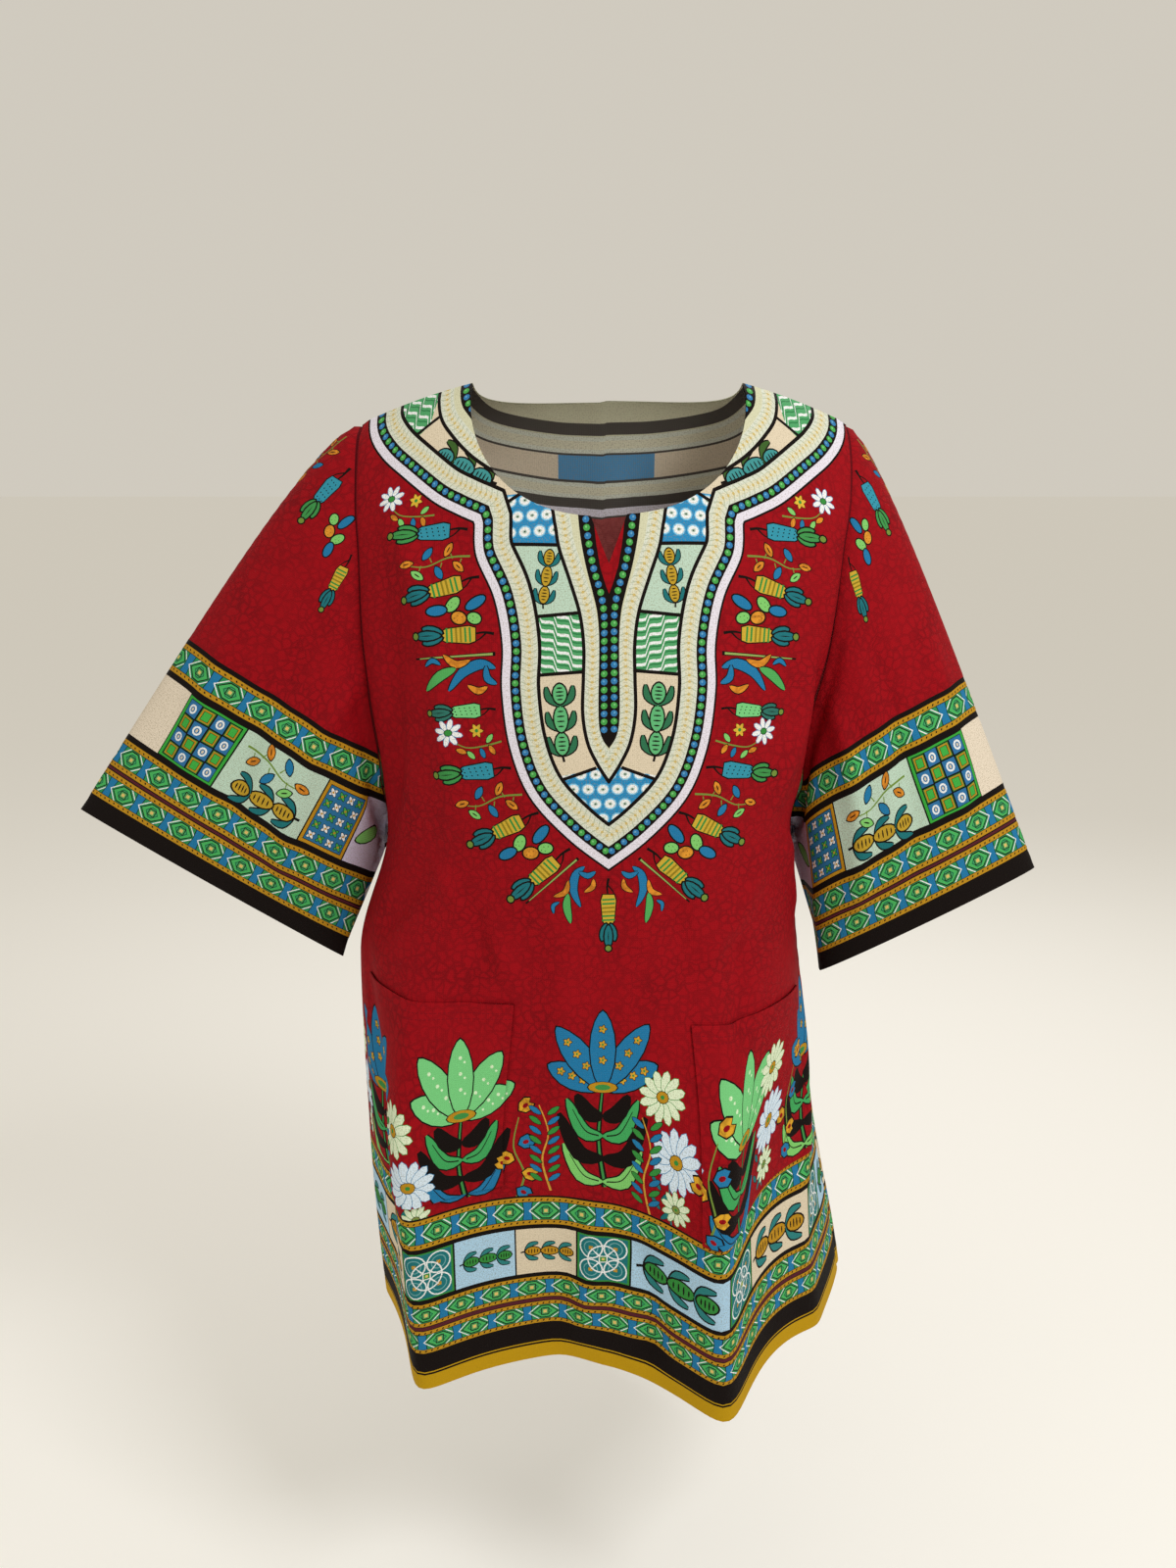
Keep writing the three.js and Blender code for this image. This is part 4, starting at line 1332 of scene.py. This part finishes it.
back_art += hem_border(-345, 345, [
    (-345, -302, "lattice"), (-302, -228, CREAM), (-228, -184, "lattice"), (-184, -106, SKY),
    (-106, -62, "lattice"), (-62, 18, CREAM), (18, 62, "lattice"), (62, 142, SKY),
    (142, 186, "lattice"), (186, 262, CREAM), (262, 345, SKY)])
# Painted seam shade: a dark red line beside the armholes and side seams.
back_art += armhole_seam_shade(back)
outline = panel_outline(back, BACK_NECK_DROP)
piece = cloth("back_cloth", outline, back_art, back.locate)
piece.data.materials.append(printed)
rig.replaces(piece, "back")
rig.ride(piece, "root")
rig.slot(piece, "printed_cotton")
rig.sheet(piece, held="draped", **cut_size(outline))


# ---- sleeves ----
# Two wide, straight sleeves of the same cotton, set in dropped armholes. The border runs
# round each cuff, and its cells are mirrored from one sleeve to the other.
SLEEVE_STEPS = 200
SLEEVE_LEVELS = 100
ARMPIT_DROP = 345
ARMPIT_DIP = 7.0
# Each sleeve's side, its cuff's outer and inner ends, middle, front and back bulge, tilt and
# lens shape, and how far the top line is lifted and the front pushed out.
sleeve_rows = [
    [-1, -428, -334, -219, -460, 8, 26, 40, 10, 1.7, 15, 14],
    [1, 350, -382, 178, -471, 4, 34, 96, 12, 1.9, 11, 12]]
sleeve_creases = {
    -1: [[40, 235, 70, 60, 2.6, 12], [95, 250, 120, 40, -3.0, 12], [150, 235, 175, 30, 3.2, 12],
         [-60, 220, -80, 50, 2.6, 13], [-130, 230, -160, 40, -3.0, 12]],
    1: [[38, 230, 66, 50, 2.8, 12], [90, 240, 118, 30, -3.0, 12], [150, 220, 172, 30, 3.0, 12],
        [-60, 220, -84, 50, 2.8, 14], [-140, 220, -165, 40, -2.8, 12]]}


class Sleeve:
    """A sleeve as a surface: round the cuff from the top line, and up from the cuff."""

    def __init__(self, row, creases):
        (side, outer_x, outer_z, inner_x, inner_z, middle_y, fore, aft, tilt, lens, lift,
         puff) = row
        edge = 0 if side < 0 else -1
        armpit = int(ARMPIT_DROP / LEVEL_STEP) + 1
        front_edge = front.grid[:armpit, edge]
        back_edge = back.grid[:armpit, -1 - edge][::-1]
        shares = np.linspace(0, 1, 2 * SLEEVE_STEPS + 1)

        # The upper end is the armhole: down the front's edge, and up the back's.
        start = []
        for stretch, want in ((front_edge, shares[:SLEEVE_STEPS] * 2),
                              (back_edge, shares[SLEEVE_STEPS:] * 2 - 1)):
            run = lengths_along(stretch)
            start.append(np.stack([np.interp(want * run[-1], run, stretch[:, i])
                                   for i in range(3)], -1))
        start = np.concatenate(start)

        # The lower end is the cuff, a flattened oval from the outer end to the inner one.
        outer = np.array([outer_x, middle_y, outer_z])
        centre = (outer + [inner_x, middle_y, inner_z]) / 2
        angle = np.linspace(0, 2 * math.pi, 641)
        along = np.sign(np.cos(angle)) * np.abs(np.cos(angle)) ** (2 / lens)
        across = np.sign(np.sin(angle)) * np.abs(np.sin(angle)) ** (2 / lens)
        cuff = centre + (outer - centre) * along[:, None]
        cuff[:, 1] -= np.where(across > 0, fore, aft) * across
        cuff[:, 2] += tilt * across
        run = lengths_along(cuff)
        self.round = run[-1]
        end = np.stack([np.interp(shares * run[-1], run, cuff[:, i]) for i in range(3)], -1)

        # Between them the cloth runs straight, but for a lift along the top line and a bulge.
        way = np.linspace(0, 1, SLEEVE_LEVELS + 1)[:, None]
        top = np.minimum(shares, 1 - shares)
        raised = lift * np.sin(math.pi * np.sqrt(way)) * np.exp(-(top / 0.09) ** 2)
        grid = start + (end - start) * way[..., None]
        grid[..., 0] += side * raised * 0.8
        grid[..., 2] += raised * 0.6
        grid[..., 1] -= puff * 4 * way * (1 - way) * np.sin(2 * math.pi * shares)
        self.long = np.linalg.norm(end - start, axis=1)

        # Unrolled from the underarm: the back half, the top line and the front half.
        order = np.r_[SLEEVE_STEPS:2 * SLEEVE_STEPS, 0:SLEEVE_STEPS + 1]
        grid, self.long = grid[:, order], self.long[order]
        self.places = np.linspace(-self.round / 2, self.round / 2, 2 * SLEEVE_STEPS + 1)
        if side > 0:
            grid = grid[::-1]
        self.flipped = side > 0
        up = self.long * (1 - way if not self.flipped else way)
        below_seam = self.long - up
        valley = SEAM_VALLEY * np.exp(-(below_seam / VALLEY_WIDTH) ** 2)

        # The cloth sinks in beside the body, more and more towards the underarm.
        low = np.clip(np.abs(self.places) / self.places[-1] * 2 - 0.7, 0, 1)
        valley = valley + ARMPIT_DIP * low * np.exp(-((below_seam - 14) / 11) ** 2)
        grid = grid - grid_normals(grid, closed=True) * valley[..., None]
        self.grid = creased(grid, np.broadcast_to(self.places, up.shape), up, creases)
        self.normals = grid_normals(self.grid, closed=True)

    def locate(self, across, up):
        """Positions and outward directions of places in the flat cloth."""
        column = np.interp(across, self.places, np.arange(len(self.places)))
        way = np.clip(1 - up / np.interp(across, self.places, self.long), 0, 1)
        if self.flipped:
            way = 1 - way
        return pick(self, way * SLEEVE_LEVELS, column)

    def outline(self):
        """The cut edge of the flat sleeve, from the cuff's left end."""
        half = self.round / 2
        edge = [(x, 0) for x in np.linspace(-half, half, 120)]
        edge += [(half, self.long[-1] * i / 40) for i in range(1, 40)]
        edge += [(x, y) for x, y in zip(self.places[::-4], self.long[::-4])]
        return edge + [(-half, self.long[0] * i / 40) for i in range(39, 0, -1)]


def square_block(x0, y0, x1, y1):
    """A green block of four by four squares, ringed blue ones and gold-edged green ones."""
    shapes = framed("#37A23C", x0, y0, x1, y1, 0.7)
    wide, tall = (x1 - x0 - 6) / 4, (y1 - y0 - 5) / 4
    for i in range(4):
        for j in range(4):
            x, y = x0 + 3 + wide * (i + 0.5), y0 + 2.5 + tall * (j + 0.5)
            a, b = wide / 2, tall / 2
            shapes.append((DARK, block(x, y, a, b)))
            if (i + j) % 2:
                shapes += [("#2F6EA0", block(x, y, a - 0.5, b - 0.5)),
                           (WHITE, oval(x, y, wide * 0.58, tall * 0.62, steps=12)),
                           ("#2F6EA0", oval(x, y, wide * 0.34, tall * 0.38, steps=10)),
                           (CREAM, oval(x, y, wide * 0.16, tall * 0.24, steps=7))]
            else:
                for inset, colour in ((0.8, "#2F7F3A"), (1.4, GOLD), (2.6, DARK), (3.0, "#3FA944")):
                    shapes.append((colour, block(x, y, a - inset, b - inset)))
    return shapes


def star_block(x0, y0, x1, y1):
    """A gold-edged blue block of green and white four-petalled flowers."""
    shapes = framed(GOLD, x0, y0, x1, y1, 0.7)
    shapes += framed("#2B6D9A", x0 + 3.4, y0 + 3.4, x1 - 3.4, y1 - 3.4)
    wide, tall = (x1 - x0 - 8) / 4, (y1 - y0 - 8) / 5
    for i in range(4):
        for j in range(5):
            x, y = x0 + 4 + wide * (i + 0.5), y0 + 4 + tall * (j + 0.5)
            tint = (WHITE, "#3F9C4F")[(i + j) % 2]
            for turn in DIAGONALS:
                shapes += bordered(tint, x, y, wide * 0.92, tall * 0.3, turn, 8, 1.3, 0.5)
            shapes.append((GOLD, oval(x, y, 2.2, 2.2, steps=6)))
    return shapes


for sleeve_row in sleeve_rows:
    side = sleeve_row[0]
    sleeve = Sleeve(sleeve_row, sleeve_creases[side])
    half = sleeve.round / 2
    # Up from the cuff: two diamond bands, a row of cells, and a third diamond band.
    art = [(DARK, box(-half, 0, half, 168))]
    art += diamond_band(-half, half, 17, 42, start=3)
    art += diamond_band(-half, half, 46, 71, start=-7)
    art += diamond_band(-half, half, 139, 164, start=5)
    art.append((PLUM, box(-half, 43, half, 45)))
    low, high = 76, 134
    cells = [("#E2D5C2", box(0, low, 37, high))] + square_block(37, low, 88, high)
    cells += framed(MINT, 88, low, 172, high)
    cells += placed(bud_spray("#B8962C", TEAL), (166, 93), math.pi + 0.1, 1.1)
    cells += placed(sprig(), (95, 121), -0.12, 1.2)
    cells += star_block(172, low, 216, high)
    cells += framed("#C9C3DC", 216, low, half + 1, high)
    cells += bordered(LEAF, 234, 104, 30, 12, 0.5, 14, 1.3)
    for sign in (-1, 1):
        art += [(colour, np.clip(np.array(shape) * (sign, 1), (-half, 0), (half, 1e3)))
                for colour, shape in cells]
    art += scattered(
        (kind, across, float(np.interp(across, sleeve.places, sleeve.long)) - drop, turn, size)
        for kind, across, drop, turn, size in [
            (sprig, 10, 8, -100, 0.9), (SPOTTED, 34, 4, -92, 0.9), (pebbles, 58, 6, -88, 0.8),
            (BANDED, 80, 8, -84, 0.8), (sprig, -12, 6, -84, 0.8), (BANDED, -38, 6, -88, 0.85)])
    # Painted seam shade: a dark red line along the sleeve's sewn top edge.
    sewn = np.stack([sleeve.places, sleeve.long], -1)[::4]
    near, far = SEAM_SHADE_LINE
    art.append((SEAM_SHADE_RED, np.concatenate([sewn - (0, near), sewn[::-1] - (0, far)])))
    name = "sleeve_left" if side < 0 else "sleeve_right"
    piece = cloth(name + "_cloth", sleeve.outline(), art, sleeve.locate)
    piece.data.materials.append(printed)
    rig.replaces(piece, name)
    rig.ride(piece, "root")
    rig.slot(piece, "printed_cotton")
    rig.sheet(piece, held="draped", **cut_size(sleeve.outline()))


# ---- pockets ----
# Two patch pockets of the same cotton, with the print carried across them. Their mouths are
# turned in and double-stitched, and they lie on the front.
SEAM_GAP = 0.3
STITCH_ROWS = (7, 11)
STITCH_PITCH = 3.4
PLAIN_MOUTH = 20
for name, side, near, far, top, bottom in [
        ("pocket_left", -1, 0.25, 0.78, 455, 592), ("pocket_right", 1, 0.26, 0.8, 471, 604)]:
    def edge_at(share, down):
        """Across the front, by a share of its half width."""
        return side * share * float(front.half(down, side))

    downs = np.linspace(top, bottom, 30)
    shares = np.linspace(near, far, 36)
    outline = [(edge_at(share, top), top) for share in shares]
    outline += [(edge_at(far, down), down) for down in downs[1:]]
    outline += [(edge_at(share, bottom), bottom) for share in shares[-2::-1]]
    outline += [(edge_at(near, down), down) for down in downs[-2:0:-1]]
    stitch = []
    for below in STITCH_ROWS:
        line = np.array([(edge_at(share, top + below), top + below) for share in shares])
        for place, turn in stations(line, STITCH_PITCH):
            stitch += placed([("#7E0815", block(0, 0, 1.1, 0.35))], place, turn)
    # The print doesn't quite meet the front's, and stops short of the mouth.
    shift = (side * 3.0, 2.5)
    carried = [(colour, np.array(shape) + shift) for colour, shape in front_art]
    lower = top + PLAIN_MOUTH
    blank = [(RED, [(edge_at(near, top), top), (edge_at(far, top), top),
                    (edge_at(far, lower), lower), (edge_at(near, lower), lower)])]
    piece = cloth(name + "_cloth", outline, carried + blank + stitch, front.locate,
                  SEAM_GAP + WALL)
    piece.data.materials.append(printed)
    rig.replaces(piece, name)
    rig.ride(piece, "root")
    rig.slot(piece, "pocket_cotton")
    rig.sheet(piece, held="draped", rests_on=["front_cloth"], **cut_size(outline))


visual_box = [list(corner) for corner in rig.bounds()]
with open("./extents.json", "w") as size_file:
    json.dump({"cad": cad_box, "visual": visual_box}, size_file)
